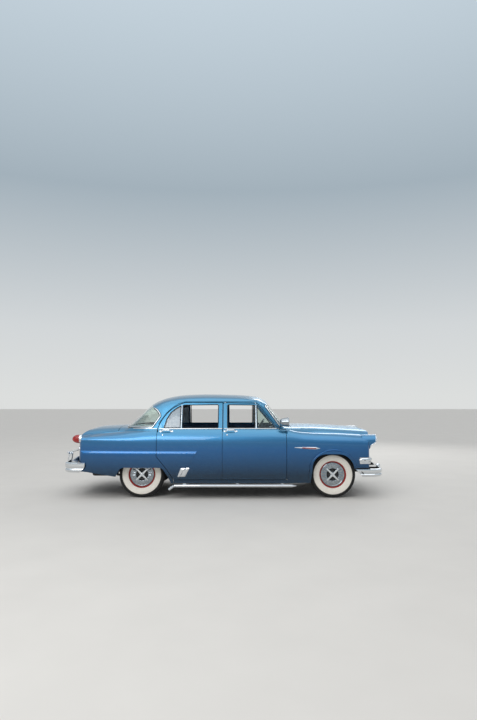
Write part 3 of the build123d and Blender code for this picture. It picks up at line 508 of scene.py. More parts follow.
# Wheels: a red pressed rim, a fluted bright cap and a four-bar centre, with the outer face towards -y
capSizes = {"flutes": 20, "fluted": (0.098, 0.166), "depth": 0.006, "well": (0.038, 0.0865)}
barSizes = {"count": 4, "from": 0.012, "to": 0.126, "root": 0.034, "tip": 0.02, "thick": 0.018, "y": -0.06}
rimProfile = [
    (0.0, 0.036), (0.09, 0.036), (0.168, 0.036), (0.178, 0.046), (0.186, 0.058), (0.2, 0.0605),
    (0.2045, 0.0605), (0.2045, 0.05), (0.19, 0.02), (0.188, -0.03), (0.2005, -0.058), (0.2045, -0.06),
    (0.2065, -0.0655), (0.203, -0.0675), (0.197, -0.064), (0.192, -0.054), (0.186, -0.046), (0.18, -0.04),
    (0.17, -0.03), (0.15, -0.022), (0.14, -0.02), (0.0, -0.02),
]
capProfile = [
    (0.0, -0.046), (0.026, -0.046), (0.036, -0.041), (0.042, -0.033), (0.06, -0.03), (0.08, -0.031),
    (0.086, -0.036), (0.089, -0.049), (0.094, -0.055), (0.104, -0.058), (0.125, -0.0585), (0.148, -0.057),
    (0.163, -0.054), (0.167, -0.051), (0.171, -0.054), (0.179, -0.053), (0.1845, -0.048), (0.1855, -0.043),
    (0.17, -0.036),
]
knobProfile = [(0.0, -0.0715), (0.012, -0.0705), (0.022, -0.067), (0.028, -0.06), (0.029, -0.046),
               (0.02, -0.04), (0.0, -0.04)]
rim = paintFaces(turned(rimProfile, 72), (wheelRed, chassisBlack), lambda centre, normal: int(centre.y > 0))
cap = turned(capProfile, capSizes["flutes"] * 6)
for vertex in cap.data.vertices:
    if capSizes["fluted"][0] < fromAxle(vertex.co) < capSizes["fluted"][1]:
        angle = math.atan2(vertex.co.z, vertex.co.x)
        vertex.co.y += capSizes["depth"] * (0.5 + 0.5 * math.cos(angle * capSizes["flutes"]))


def capFinish(centre, normal):
    return int(capSizes["well"][0] < fromAxle(centre) < capSizes["well"][1])


# the caps' greyer chrome is painted dark reflection
paintFaces(cap, (darkReflectionChrome, blackEnamelAndPaintedShade), capFinish)
bars = []
for number in range(barSizes["count"]):
    takeUp()
    bpy.ops.mesh.primitive_cube_add(size=1, location=(0, 0, 0))
    bar = moved(bpy.context.object, shift(0.5, 0, 0))
    editAll(bar, bpy.ops.mesh.subdivide, number_cuts=2)
    for vertex in bar.data.vertices:
        share = vertex.co.x
        vertex.co.x = barSizes["from"] + share * (barSizes["to"] - barSizes["from"])
        vertex.co.y = barSizes["y"] + vertex.co.y * barSizes["thick"] * (1 - 0.4 * share)
        vertex.co.z *= barSizes["root"] + (barSizes["tip"] - barSizes["root"]) * share
    moved(bar, turn(45 + 360 / barSizes["count"] * number, "Y"))
    addModifier(bar, "BEVEL", width=0.003, segments=2)
    bars.append(paintFaces(bar, (chromePlate,)))
wheel = joinAll([rim, cap, paintFaces(turned(knobProfile, 32), (chromePlate,)), *bars])
wheelPlaces = {"front": (1.672, 0.7365, 0.35), "rear": (-1.249, 0.711, 0.35)}
wheelCopies = (  # piece, its name, the solid that it replaces, slot, smoothing angle
    (tyre, "ribbed_tyre_", "tyre_", "tyre_rubber", 35),
    (wheel, "capped_wheel_", "wheel_", "wheel_red", 40),
)
for end, (x, y, z) in wheelPlaces.items():
    for sideName, side in sides.items():
        place = shift(x, side * y, z) @ turn(180 if side > 0 else 0, "Z")
        where = f"{end}_{sideName}"
        for source, prefix, hidden, slot, angle in wheelCopies:
            piece = moved(linked("copy", source.data.copy()), place)
            settle(piece, prefix + where, "wheel_" + where, angle=angle, hides=(hidden + where,))
for spare in (tyre, wheel):
    bpy.data.objects.remove(spare)
print("wheels fitted")

# Bright trim, laid on the skin that carries it
doorNames = [f"{end}_door_{sideName}" for end in ("front", "rear") for sideName in sides]
skins = {name: skinOf(name) for name in (*doorNames, "front_fenders", "roof_panel", "bonnet")}
stripKinds = {  # width, rise, finish, slot, closed
    "belt": (0.017, 0.008, chromePlate, "bright_trim", False),
    "frame": (0.013, 0.004, sealRubber, "tyre_rubber", True),
    "bar": (0.016, 0.006, chromePlate, "bright_trim", False),
    "drip": (0.013, 0.009, enamelBlue, "body_paint", False),
    "lip": (0.012, 0.007, chromePlate, "bright_trim", False),
}
stripStep, closest = 0.02, 0.002


def alongCorners(corners, step, last=1):  # points along straight runs; last=0 leaves out each run's end
    places = []
    for (x1, z1), (x2, z2) in zip(corners, corners[1:]):
        runs = max(2, round(math.hypot(x2 - x1, z2 - z1) / step))
        places += [(x1 + (x2 - x1) * i / runs, z1 + (z2 - z1) * i / runs) for i in range(runs + last)]
    return places


def moulding(name, nodeName, corners, side, kind):
    width, rise, finish, slot, closed = stripKinds[kind]
    points, outs = [], []
    for x, z in alongCorners(corners, stripStep):
        met = onSide(skins[nodeName], x, z, side)
        if met and (not points or (met[0] - points[-1]).length > closest):
            points.append(met[0])
            outs.append(met[1])
    if closed and (points[0] - points[-1]).length < closest:
        points, outs = points[:-1], outs[:-1]
    settle(sweep(points, outs, halfRound(width, rise), closed), name, homeBody[nodeName], finish, 40)


def rounded(corners, radius=0.02, steps=4):  # a closed outline with its corners cut by short arcs
    outline = []
    for i, corner in enumerate(corners):
        before, here, after = Vector(corners[i - 1]), Vector(corner), Vector(corners[(i + 1) % len(corners)])
        start = here + (before - here).normalized() * radius
        end = here + (after - here).normalized() * radius
        outline += [tuple(start.lerp(here, t).lerp(here.lerp(end, t), t)) for t in spaced(0, 1, steps)]
    return outline + outline[:1]


beltZ = 1.05
frontWindow = [(0.062, 1.063), (0.49, 1.063), (0.49, 1.409), (0.062, 1.414)]
ventWindow = [(0.519, 1.062), (0.803, 1.062), (0.519, 1.412)]
rearWindow = [(-0.632, 1.063), (-0.079, 1.063), (-0.079, 1.415), (-0.632, 1.409)]
quarterWindow = [(-0.662, 1.4), (-0.745, 1.352), (-0.82, 1.288), (-0.872, 1.2), (-0.912, 1.063),
                 (-0.662, 1.063)]
dripLine = [(0.842, 1.085), (0.538, 1.457), (0.26, 1.463), (0.0, 1.4635), (-0.3, 1.4635), (-0.6, 1.4615),
            (-0.7, 1.432), (-0.79, 1.375), (-0.88, 1.292), (-0.96, 1.18), (-1.0, 1.12)]
quarterBelt = [(-1.017, beltZ - 0.002), (-1.1, beltZ), (-1.4, beltZ - 0.004)]
strips = (  # name, what carries it, corners, kind
    ("belt_strip_front", "front_door", [(-0.008, beltZ), (0.82, beltZ)], "belt"),
    ("belt_strip_rear", "rear_door", [(-1.0, beltZ - 0.002), (-0.02, beltZ)], "belt"),
    ("belt_strip_pillar", "roof_panel", [(0.838, beltZ), (0.95, beltZ)], "belt"),
    ("belt_strip_quarter", "roof_panel", quarterBelt, "belt"),
    ("window_frame_front", "front_door", rounded(frontWindow), "frame"),
    ("vent_frame", "front_door", rounded(ventWindow), "frame"),
    ("window_frame_rear", "rear_door", rounded(rearWindow), "frame"),
    ("quarter_frame", "rear_door", quarterWindow + quarterWindow[:1], "frame"),
    ("vent_bar", "front_door", [(0.504, 1.06), (0.504, 1.415)], "bar"),
    ("quarter_bar", "rear_door", [(-0.647, 1.06), (-0.647, 1.41)], "bar"),
    ("drip_rail", "roof_panel", dripLine, "drip"),
    ("pod_lip", "front_fenders", [(2.1, 0.528), (2.2, 0.528)], "lip"),
)
for sideName, side in sides.items():
    for name, carrier, corners, kind in strips:
        nodeName = f"{carrier}_{sideName}" if "door" in carrier else carrier
        moulding(f"{name}_{sideName}", nodeName, corners, side, kind)
print("mouldings laid")

# Screens: a rubber seal with a bright strip in it, traced where the glass meets its frame
rubberSection, stripSection = halfRound(0.034, 0.006), halfRound(0.022, 0.011)
screenEdges = {  # (height, x) of the frame's edge in side view
    "rear": [(1.056, -1.105), (1.236, -0.984), (1.268, -0.99), (1.33, -1.036), (1.38, -1.12), (1.412, -1.19),
             (1.56, -1.29)],
    "front": [(1.07, 0.888), (1.394, 0.654), (1.441, 0.702), (1.56, 0.8)],
}
screens = {"rear": ("rear_screen", 1.36, 1.068, -1.1), "front": ("windscreen", 1.39, 1.094, 0.6)}
tracing = {"over": 0.005, "above": 2.0, "far": 2.5}  # metres
traceSteps = {"sides": 14, "top": 24, "foot": 32, "turns": 6}


def edgeX(edge, z):
    for (z1, x1), (z2, x2) in zip(edge, edge[1:]):
        if z <= z2:
            return x1 + (x2 - x1) * (z - z1) / (z2 - z1)
    return edge[-1][1]


def screenPath(end, topZ, baseZ, centre, baseSkin):
    overFrame = tracing["over"] if end == "rear" else -tracing["over"]  # the seal's middle lies over the edge
    edge = [(z, x + overFrame) for z, x in screenEdges[end]]
    roof = skins["roof_panel"]
    heights = spaced(baseZ, topZ, traceSteps["sides"])
    found = [met for met in (onSide(roof, edgeX(edge, z), z, 1) for z in heights) if met]
    width = found[-1][0].y
    for i in range(1, traceSteps["top"]):  # over the top; x and z are found by turns
        y, z = width * math.cos(math.pi * i / traceSteps["top"]), found[-1][0].z
        for _ in range(traceSteps["turns"]):
            met = cast(roof, (edgeX(edge, z), y, tracing["above"]), (0, 0, -1))
            if not met:
                break
            z = met[0].z
        found += [met] if met else []
    found += [met for met in (onSide(roof, edgeX(edge, z), z, -1) for z in reversed(heights)) if met]
    middle = Vector((centre, 0, baseZ))
    first, last = (math.atan2((hit - middle).y, (hit - middle).x) for hit in (found[-1][0], found[0][0]))
    # round the foot, met from outside
    for angle in spaced(first + (fullTurn if end == "rear" else 0), last, traceSteps["foot"])[1:-1]:
        way = Vector((math.cos(angle), math.sin(angle), 0))
        met = cast(baseSkin, middle + way * tracing["far"], -way)
        found += [met] if met else []
    return [hit for hit, _ in found], [normal for _, normal in found]


for end, (glassName, topZ, baseZ, centre) in screens.items():
    points, outs = screenPath(end, topZ, baseZ, centre, skinOf(glassName, "roof_panel"))
    rubber = sweep(points, outs, rubberSection, True)
    settle(rubber, f"{end}_screen_seal", "car", sealRubber, 40)
    bright(sweep(points, outs, stripSection, True), f"{end}_screen_strip")
print("screens edged")


# Fittings on the body sides
def sideRow(skin, places, side):
    return castRow(skin, [(x, side * outside, z) for x, z in places], (0, -side, 0))


def liftedBy(points, outs, heights):
    return [point + out * height for point, out, height in zip(points, outs, heights)]


doorHandle = {"length": 0.165, "stand": 0.036, "sink": 0.003, "z": 1.012, "lock": (0.03, 0.052),
              "rearX": {"front": 0.028, "rear": -0.952}}
gripSection = oval(0.011, 0.0065, 12)
padProfile = [(0.0, -0.007), (0.012, -0.0065), (0.019, -0.004), (0.021, 0.001), (0.018, 0.003), (0.0, 0.003)]
lockProfile = [(0.0, -0.002), (0.003, -0.002), (0.0035, -0.006), (0.009, -0.0055), (0.0115, -0.003),
               (0.012, 0.002), (0.0, 0.002)]
for nodeName in doorNames:
    end, _, sideName = nodeName.split("_")
    skin, side, rearX = skins[nodeName], sides[sideName], doorHandle["rearX"][end]
    length, z, (lockX, lockDrop) = doorHandle["length"], doorHandle["z"], doorHandle["lock"]
    shares = spaced(0, 1, 16)
    points, outs = sideRow(skin, [(rearX + length * t, z) for t in shares], side)
    arch = [min(1.0, math.sin(math.pi * t) * 2.2) ** 0.7 for t in shares]
    lifts = [doorHandle["stand"] * share - doorHandle["sink"] for share in arch]
    thickness = [0.7 + 0.3 * math.sin(math.pi * t) for t in shares]
    parts = [sweep(liftedBy(points, outs, lifts), outs, gripSection, shrink=thickness)]
    for x in (rearX, rearX + length):
        parts.append(boss(padProfile, *onSide(skin, x, z, side), squash=(1.25, 1, 0.8)))
    parts.append(boss(lockProfile, *onSide(skin, rearX + lockX, z - lockDrop, side), steps=20))
    bright(joinAll(parts), f"door_handle_{end}_{sideName}", nodeName)

# Stone guards on the leading edge of the rear wings: ribbed bright metal
stoneGuard = {"ribs": 6, "proud": 0.006, "ribDepth": 0.003, "columns": 26, "rows": 36, "thick": 0.004,
              "corners": [(-0.638, 0.464), (-0.506, 0.467), (-0.577, 0.334), (-0.688, 0.332)]}
for sideName, side in sides.items():
    topRear, topFront, lowFront, lowRear = (Vector(corner) for corner in stoneGuard["corners"])
    points, faces = [], []
    for v in spaced(0, 1, stoneGuard["rows"]):
        for u in spaced(0, 1, stoneGuard["columns"]):
            x, z = topRear.lerp(topFront, u).lerp(lowRear.lerp(lowFront, u), v)
            place = onSide(skins[f"rear_door_{sideName}"], x, z, side)[0]
            edge = min(1.0, 8 * min(u, 1 - u, v, 1 - v))
            wave = 0.5 - 0.5 * math.cos(fullTurn * stoneGuard["ribs"] * u)
            rise = edge * (stoneGuard["proud"] + stoneGuard["ribDepth"] * wave)
            points.append((place.x, place.y + side * rise, place.z))
    row = stoneGuard["columns"] + 1
    for j in range(stoneGuard["rows"]):
        for i in range(j * row, j * row + stoneGuard["columns"]):
            faces.append((i, i + 1, i + 1 + row, i + row))
    guard = pieceFrom("guard", points, faces)
    if (guard.data.polygons[0].normal.y > 0) != (side > 0):
        guard.data.flip_normals()
    addModifier(guard, "SOLIDIFY", thickness=stoneGuard["thick"], offset=-1.0)
    bright(guard, f"stone_guard_{sideName}", f"rear_door_{sideName}")

# Spears on the front wings: a slim bright blade with an enamelled flute
spear = {"from": (1.08, 0.772), "to": (1.47, 0.758), "width": 0.036, "rise": 0.012, "inlay": 0.00864,
         "inlaid": slice(7, 21)}
inlayShape = ((-1, 0.0082), (-0.6, 0.0134), (0.6, 0.0134), (1, 0.0082))
inlaySection = [(spear["inlay"] * a, out) for a, out in inlayShape]


def spearSize(share):
    if share < 0.86:
        return 0.12 + 0.88 * math.sin(math.pi * (share * 0.62 + 0.02))
    return max(0.06, (1 - share) / 0.14) * 0.95


for sideName, side in sides.items():
    shares = spaced(0, 1, 24)
    places = [Vector(spear["from"]).lerp(Vector(spear["to"]), share) for share in shares]
    points, outs = sideRow(skins["front_fenders"], places, side)
    section, taper = halfRound(spear["width"], spear["rise"]), [spearSize(share) for share in shares]
    bright(sweep(points, outs, section, shrink=taper), f"wing_spear_{sideName}")
    inlay = sweep(points[spear["inlaid"]], outs[spear["inlaid"]], inlaySection)
    settle(inlay, f"wing_spear_inlay_{sideName}", "car", wheelRed, 30)
print("side fittings made")

# Lamps
headLamp = {"y": 0.758, "z": 0.846, "radius": 0.1035, "bead": 0.0085, "face": 2.213}
visorEdge = [(0.6, 2.225), (0.8, 2.252), (0.842, 2.328), (1.0, 2.35)]  # (height, x) of the wing's visor
ringProfile = [(0.0935, 0.0), (0.0945, -0.012), (0.091, -0.018), (0.085, -0.016), (0.083, -0.006),
               (0.084, 0.0), (0.0935, 0.0)]
tailLamp = {"place": (-2.203, 0.806, 0.893), "radius": 0.0655, "length": 0.113, "rings": 6, "ridge": 0.0012}
reflectorPlace = {"y": 0.79, "z": 0.745, "lens": 0.0225}
reflectorProfile = [(0.0, -0.016), (0.016, -0.014), (0.021, -0.009), (0.022, -0.0095), (0.0275, -0.008),
                    (0.029, -0.002), (0.029, 0.012), (0.0, 0.012)]


def lensPoint(share):  # a bullet with moulded rings
    radius = tailLamp["radius"] * math.sqrt(max(0.0, 1 - max(0.0, share - 0.14) ** 2 / 0.74))
    ridge = tailLamp["ridge"] * (0.5 + 0.5 * math.cos(fullTurn * share * tailLamp["rings"])) * (1 - share)
    return max(0.0, radius - ridge), -tailLamp["length"] * share


lensProfile = [(0.0, 0.004), (tailLamp["radius"], 0.004)] + [lensPoint(share) for share in spaced(0, 1, 48)]
tailSkin = skinOf("quarter_panels", "tail_panel")
settle(mergedCopy("tail_lamps"), "tail_lamp_bowls", "car", chromePlate, 35, ("tail_lamps",))
for sideName, side in sides.items():
    points, outs = [], []
    for out, up in oval(1, 1, 64):
        z = headLamp["z"] + headLamp["radius"] * up
        points.append((edgeX(visorEdge, z) - 0.003, side * headLamp["y"] + headLamp["radius"] * out, z))
        outs.append((0, out, up))
    bright(sweep(points, outs, oval(headLamp["bead"], headLamp["bead"], 10), True),
           f"head_lamp_visor_rim_{sideName}", angle=50)
    lampFace = (headLamp["face"], side * headLamp["y"], headLamp["z"])
    bright(boss(ringProfile, lampFace, (1, 0, 0), steps=56), f"head_lamp_ring_{sideName}")
    x, y, z = tailLamp["place"]
    bullet = boss(lensProfile, (x, side * y, z), (-1, 0, 0), steps=48)
    settle(bullet, f"tail_lamp_lens_{sideName}", "car", lensRed, 40)
    hit = cast(tailSkin, (-3, side * reflectorPlace["y"], reflectorPlace["z"]), (1, 0, 0))[0]

    def reflectorFinish(centre, normal):
        return int((centre - hit).length < reflectorPlace["lens"] and normal.x < -0.5)

    reflector = boss(reflectorProfile, hit, Vector((-1, side * 0.12, 0)).normalized(), steps=40)
    paintFaces(reflector, (chromePlate, lensRed), reflectorFinish)
    settle(reflector, f"tail_reflector_{sideName}", "car", angle=40)

# Spotlight: the bright bowl with a glass face
spotFace = (0.9975, -0.868, 1.15)
spotProfile = [(0.0, -0.006), (0.03, -0.005), (0.055, -0.002), (0.066, 0.001), (0.066, 0.004), (0.0, 0.004)]
# the spotlight's greyer chrome is painted dark reflection
settle(mergedCopy("spotlights"), "bright_spotlight", "car", darkReflectionChrome, 35, ("spotlights",))
spotGlass = boss(spotProfile, spotFace, (1, 0, 0), steps=48)
settle(spotGlass, "spotlight_glass", "car", lampGlass, 35)
print("lamps made")

# Parking lamp pods: bright bullets that run from the wings round the nose
pod = {"z": 0.58, "half": 0.035, "rise": 0.032, "back": 0.012, "start": 73, "end": 12, "steps": 30,
       "about": (1.95, 0.55), "opening": 6, "lens": 20}
podDome = [(pod["half"] * math.cos(a), pod["rise"] * math.sin(a) ** 0.8) for a in spaced(0, math.pi, 14)]
podSection = [(pod["half"], -pod["back"])] + podDome + [(-pod["half"], -pod["back"])]
openingProfile = [(0.0, -0.004), (0.02, -0.0035), (0.026, -0.001), (0.028, 0.004), (0.0, 0.004)]
podLensProfile = [(0.0, -0.014), (0.02, -0.012), (0.032, -0.006), (0.036, 0.0), (0.036, 0.006), (0.0, 0.006)]
noseSkin = skinOf("front_fenders", "front_panel")
for sideName, side in sides.items():
    centre = Vector((pod["about"][0], side * pod["about"][1], pod["z"]))
    points, outs, swell = [], [], []
    for share in spaced(0, 1, pod["steps"]):
        angle = math.radians(pod["start"] + (pod["end"] - pod["start"]) * share)
        way = Vector((math.cos(angle), side * math.sin(angle), 0))
        met = cast(noseSkin, centre + way * 2, -way)
        if met:
            points.append(met[0])
            outs.append(way)
            swell.append(max(0.2, min(1.0, (share + 0.012) / 0.11, (1.01 - share) / 0.08) ** 0.5))
    bright(sweep(points, outs, podSection, shrink=swell), f"parking_lamp_pod_{sideName}")
    # a flat black disc on the pod is painted shade where an opening would be
    place, out = points[pod["opening"]], outs[pod["opening"]]
    opening = boss(openingProfile, place + out * 0.0275, out, (0.8, 1, 0.4))
    settle(opening, f"pod_shade_spot_{sideName}", "car", blackEnamelAndPaintedShade, 40)
    place, out = points[pod["lens"]], outs[pod["lens"]]
    lens = boss(podLensProfile, place + out * 0.03, out, (0.9, 1, 0.62))
    settle(lens, f"parking_lamp_lens_{sideName}", "car", lampGlass, 40)
bright(mergedCopy("grille"), "toothed_grille", angle=32, hides=("grille",))
print("pods made")

# Bumpers: rolled bright blades that wrap round the wings, with rounded guards
bumper = {"x": 2.488, "bow": 5.2, "corner": 0.17, "wrapSteps": 8, "cornerSteps": 12, "archSteps": 22}
guardPlace = {"x": 2.47, "y": 0.4, "inset": 0.004}
bladeFace = [  # share of the height, reach
    (0.0, -0.034), (0.02, -0.012), (0.06, -0.004), (0.16, 0.0), (0.42, -0.001), (0.5, -0.006), (0.56, -0.013),
    (0.62, -0.0135), (0.67, -0.006), (0.74, -0.0015), (0.86, -0.003), (0.95, -0.011), (1.0, -0.026),
    (1.0, -0.031), (0.9, -0.02), (0.6, -0.021), (0.3, -0.012), (0.06, -0.016), (0.02, -0.036),
]
guardDome = [(-0.027 * math.cos(a), 0.012 + 0.03 * math.sin(a) ** 0.7) for a in spaced(0, math.pi, 14)]
guardSection = [(-0.027, -0.024)] + guardDome + [(0.027, -0.024)]
barHalf = [(0.0, 0.56), (0.014, 0.558), (0.021, 0.55), (0.023, 0.538), (0.021, 0.528), (0.017, 0.522)]
barProfile = [(radius, -y) for radius, y in barHalf] + barHalf[::-1]
slotProfile = [(0.0, -0.003), (0.026, -0.0025), (0.031, 0.0), (0.031, 0.003), (0.0, 0.003)]


def bumperPath(half, wrapX):  # the blade's outer line in plan, from the right wrap to the left
    bow, corner = bumper["bow"], bumper["corner"]
    centreX, cornerY = bumper["x"] - bow, half - corner
    cornerX = centreX + math.sqrt((bow - corner) ** 2 - cornerY ** 2)
    reach = math.atan2(cornerY, cornerX - centreX)
    line = [(x, -half, -math.pi / 2) for x in spaced(wrapX, cornerX, bumper["wrapSteps"])[:-1]]
    for angle in spaced(-math.pi / 2, -reach, bumper["cornerSteps"])[:-1]:
        line.append((cornerX + corner * math.cos(angle), -cornerY + corner * math.sin(angle), angle))
    for angle in spaced(-reach, 0, bumper["archSteps"]):
        line.append((centreX + bow * math.cos(angle), bow * math.sin(angle), angle))
    line += [(x, -y, -angle) for x, y, angle in reversed(line[:-1])]
    return [(x, y, 0) for x, y, _ in line], [(math.cos(angle), math.sin(angle), 0) for _, _, angle in line]


def bumperBlade(half, wrapX, low, high, endX):  # endX(z) is how far back the wrapped end reaches
    section = [((high - low) * share - high, out) for share, out in bladeFace]  # across runs downwards here
    blade = sweep(*bumperPath(half, wrapX), section)
    for vertex in blade.data.vertices:
        vertex.co.x = max(vertex.co.x, endX(vertex.co.z))
    return blade


def bumperGuard(y, low, high, lean):
    shares = spaced(0, 1, 18)
    foot, height = low + guardPlace["inset"], high - low - 2 * guardPlace["inset"]
    points = [(guardPlace["x"] - lean * t ** 2, y, foot + height * t) for t in shares]
    size = [max(0.12, min(1.0, math.sin(math.pi * t) * 2.4)) ** 0.5 for t in shares]
    return sweep(points, (1, 0, 0), guardSection, shrink=size)


def frontEnd(z):  # cut forward in a straight line down to the lower edge
    return 2.0 + max(0.0, min(1.0, (0.447 - z) / 0.11)) * 0.104


def rearEnd(z):  # upright above, then cut away in a curve
    return 2.094 + 0.085 * max(0.0, (0.49 - z) / 0.095) ** 1.7


guardSides = (-guardPlace["y"], guardPlace["y"])
frontParts = [bumperBlade(0.928, 2.0, 0.334, 0.45, frontEnd)]
frontParts += [bumperGuard(y, 0.322, 0.478, 0.022) for y in guardSides]
rearParts = [bumperBlade(0.918, 2.092, 0.395, 0.544, rearEnd)]
rearParts += [bumperGuard(y, 0.385, 0.668, 0.03) for y in guardSides]
for part in rearParts:
    moved(part, scaled(-1, 1, 1))
for part in frontParts[:1] + rearParts:
    cleanNormals(part)
upperBar = moved(turned(barProfile, 24), shift(-2.452, 0, 0.655))
bright(joinAll(frontParts), "rolled_front_bumper", angle=35, hides=("front_bumper",))
bright(joinAll(rearParts + [upperBar]), "rolled_rear_bumper", angle=35, hides=("rear_bumper",))
for sideName, side in sides.items():
    seat = shift(2.1, side * 0.925, 0.398) @ turn(0 if side < 0 else 180, "X")
    # a flat black oval on each wrap is painted shade where a slot would be
    slotShade = moved(turned(slotProfile, 28), seat, turn(42, "Y") @ scaled(1, 1, 0.22))
    settle(slotShade, f"bumper_slot_shade_{sideName}", "car", blackEnamelAndPaintedShade, 40)
print("bumpers rolled")

# Cabin: benches swelled by cloth pressure, then pleated
bench = {"voxel": 0.011, "pressure": 4.0, "frames": 20, "swell": 0.024, "pitch": 0.07, "depth": 0.006,
         "pleatHalf": 0.008, "unpleated": 0.09, "border": 0.07, "piping": 0.0055, "bevel": 0.028,
         "cushionHeld": 0.41}


def swell(pad, heldBelow):  # the cloth cover pushes out under pressure, no further than the swell
    before = [vertex.co.copy() for vertex in pad.data.vertices]
    held = pad.vertex_groups.new(name="held")
    held.add([vertex.index for vertex in pad.data.vertices if vertex.co.z < heldBelow], 1.0, "REPLACE")
    cover = pad.modifiers.new("Cover", "CLOTH")
    cover.settings.vertex_group_mass = "held"
    cover.settings.use_pressure = True
    cover.settings.uniform_pressure_force = bench["pressure"]
    cover.settings.effector_weights.gravity = 0
    for number in range(1, bench["frames"] + 1):
        bpy.context.scene.frame_set(number)
    takeUp(pad)
    bpy.ops.object.modifier_apply(modifier=cover.name)
    for vertex, start in zip(pad.data.vertices, before):
        move = vertex.co - start
        vertex.co = start + move * min(1.0, bench["swell"] / max(move.length, 0.000001))
    bpy.context.scene.frame_set(1)
    pad.vertex_groups.clear()


def paddedBench(name, outline, half, heldBelow, pleated):
    pad = slab(outline, -half, half, bench["bevel"], 3)
    pad.name = name
    takeUp(pad)
    pad.data.remesh_voxel_size = bench["voxel"]
    bpy.ops.object.voxel_remesh()
    swell(pad, heldBelow)
    addModifier(pad, "SUBSURF", levels=1, render_levels=1)
    normals = [vertex.normal.copy() for vertex in pad.data.vertices]
    for vertex, normal in zip(pad.data.vertices, normals):
        if pleated(vertex.co, normal) and abs(vertex.co.y) < half - bench["unpleated"]:
            off = abs((vertex.co.y / bench["pitch"]) % 1.0 - 0.5) * bench["pitch"]
            vertex.co -= normal * bench["depth"] * math.exp(-(off / bench["pleatHalf"]) ** 2)

    def benchFinish(centre, normal):
        return int(pleated(centre, normal) and abs(centre.y) < half - bench["border"])

    paintFaces(pad, (trimVinyl, seatCloth), benchFinish)
    return pad


def pipingOn(pad, name, eye, aim, half):  # cord sewn in along an edge, met by looking from eye to aim
    way = (aim[0] - eye[0], 0, aim[1] - eye[1])
    points, outs = castRow(treeOf([pad.data]), [(eye[0], y, eye[1]) for y in spaced(-half, half, 60)], way)
    points = liftedBy(points, outs, [bench["piping"] * 0.3] * len(points))
    cord = sweep(points, outs, oval(bench["piping"], bench["piping"], 8))
    settle(cord, name, "car", trimPale, 60)


benches = {  # outlines, half widths, the height that each part is held below, edges that carry piping
    "front": {
        "cushion": [(-0.035, 0.392), (0.515, 0.392), (0.532, 0.525), (0.508, 0.566), (0.06, 0.54),
                    (-0.035, 0.53)],
        "back": [(0.028, 0.575), (-0.088, 0.975), (-0.112, 0.995), (-0.146, 0.972), (-0.068, 0.47),
                 (-0.01, 0.47)],
        "plinth": [(-0.03, 0.343), (0.49, 0.343), (0.51, 0.398), (-0.03, 0.398)],
        "halves": (0.672, 0.668, 0.63), "backHeld": 0.5, "pleatTop": 0.955, "piping": (0.55, -0.09, 0.6)},
    "rear": {
        "cushion": [(-0.79, 0.392), (-0.462, 0.392), (-0.452, 0.53), (-0.48, 0.572), (-0.86, 0.55),
                    (-0.9, 0.545), (-0.79, 0.5)],
        "back": [(-0.925, 0.572), (-1.035, 0.955), (-1.066, 0.988), (-1.11, 0.972), (-1.075, 0.572)],
        "plinth": [(-0.805, 0.343), (-0.47, 0.343), (-0.455, 0.398), (-0.805, 0.398)],
        "halves": (0.574, 0.572, 0.55), "backHeld": 0.59, "pleatTop": 0.94, "piping": (-0.44, -1.04, 0.51)},
}


def topPleated(place, normal):
    return normal.z > 0.55 and place.z > 0.5


for end, plan in benches.items():
    cushionHalf, backHalf, plinthHalf = plan["halves"]
    frontX, topX, pipingHalf = plan["piping"]

    def frontPleated(place, normal):
        return normal.x > 0.5 and 0.6 < place.z < plan["pleatTop"]

    held = bench["cushionHeld"]
    cushion = paddedBench(f"{end}_bench_cushion", plan["cushion"], cushionHalf, held, topPleated)
    back = paddedBench(f"{end}_bench_back", plan["back"], backHalf, plan["backHeld"], frontPleated)
    for piece in (cushion, back):
        settle(piece, piece.name, "car", angle=60, hides=(f"{end}_seat",))
    pipingOn(cushion, f"{end}_cushion_piping", (frontX + 0.1, 0.68), (frontX - 0.2, 0.46), pipingHalf)
    pipingOn(back, f"{end}_back_piping", (topX + 0.2, 1.1), (topX - 0.03, 0.9), pipingHalf)
    plinth = slab(plan["plinth"], -plinthHalf, plinthHalf, 0.006)
    settle(plinth, f"{end}_bench_plinth", "car", trimVinyl, 35)
print("benches padded")

# Centre pillars' upper halves, and the rubber that closes the gaps behind the doors' frames
pillar = {"x": -0.014, "half": 0.034, "deep": 0.028, "from": 1.0, "to": 1.462, "clear": 0.005,
          "lastMet": 1.448, "seen": (-0.05, -0.03, 0.0, 0.022), "steps": 14}
frameSeal = {"clear": 0.004, "step": 0.03, "beyond": 0.5}
postSection = [(pillar["half"] * a, -pillar["deep"] * out) for a, out in (
    (-1, 0), (1, 0), (1, 0.5), (0.75, 1), (-0.75, 1), (-1, 0.5))]
sealSection = [(-0.03, 0.0), (-0.03, 0.004), (-0.012, 0.011), (0.012, 0.011), (0.03, 0.004), (0.03, 0.0)]
doorTop = [(0.52, 1.436), (0.26, 1.45), (0.0, 1.45), (-0.3, 1.45), (-0.58, 1.446), (-0.69, 1.414),
           (-0.775, 1.358), (-0.865, 1.275), (-0.94, 1.165), (-0.975, 1.09)]


def innerFace(skin, x, z, side):  # how far out the skin is met from the middle of the car
    met = cast(skin, (x, 0, z), (0, side, 0))
    return abs(met[0].y) if met else None


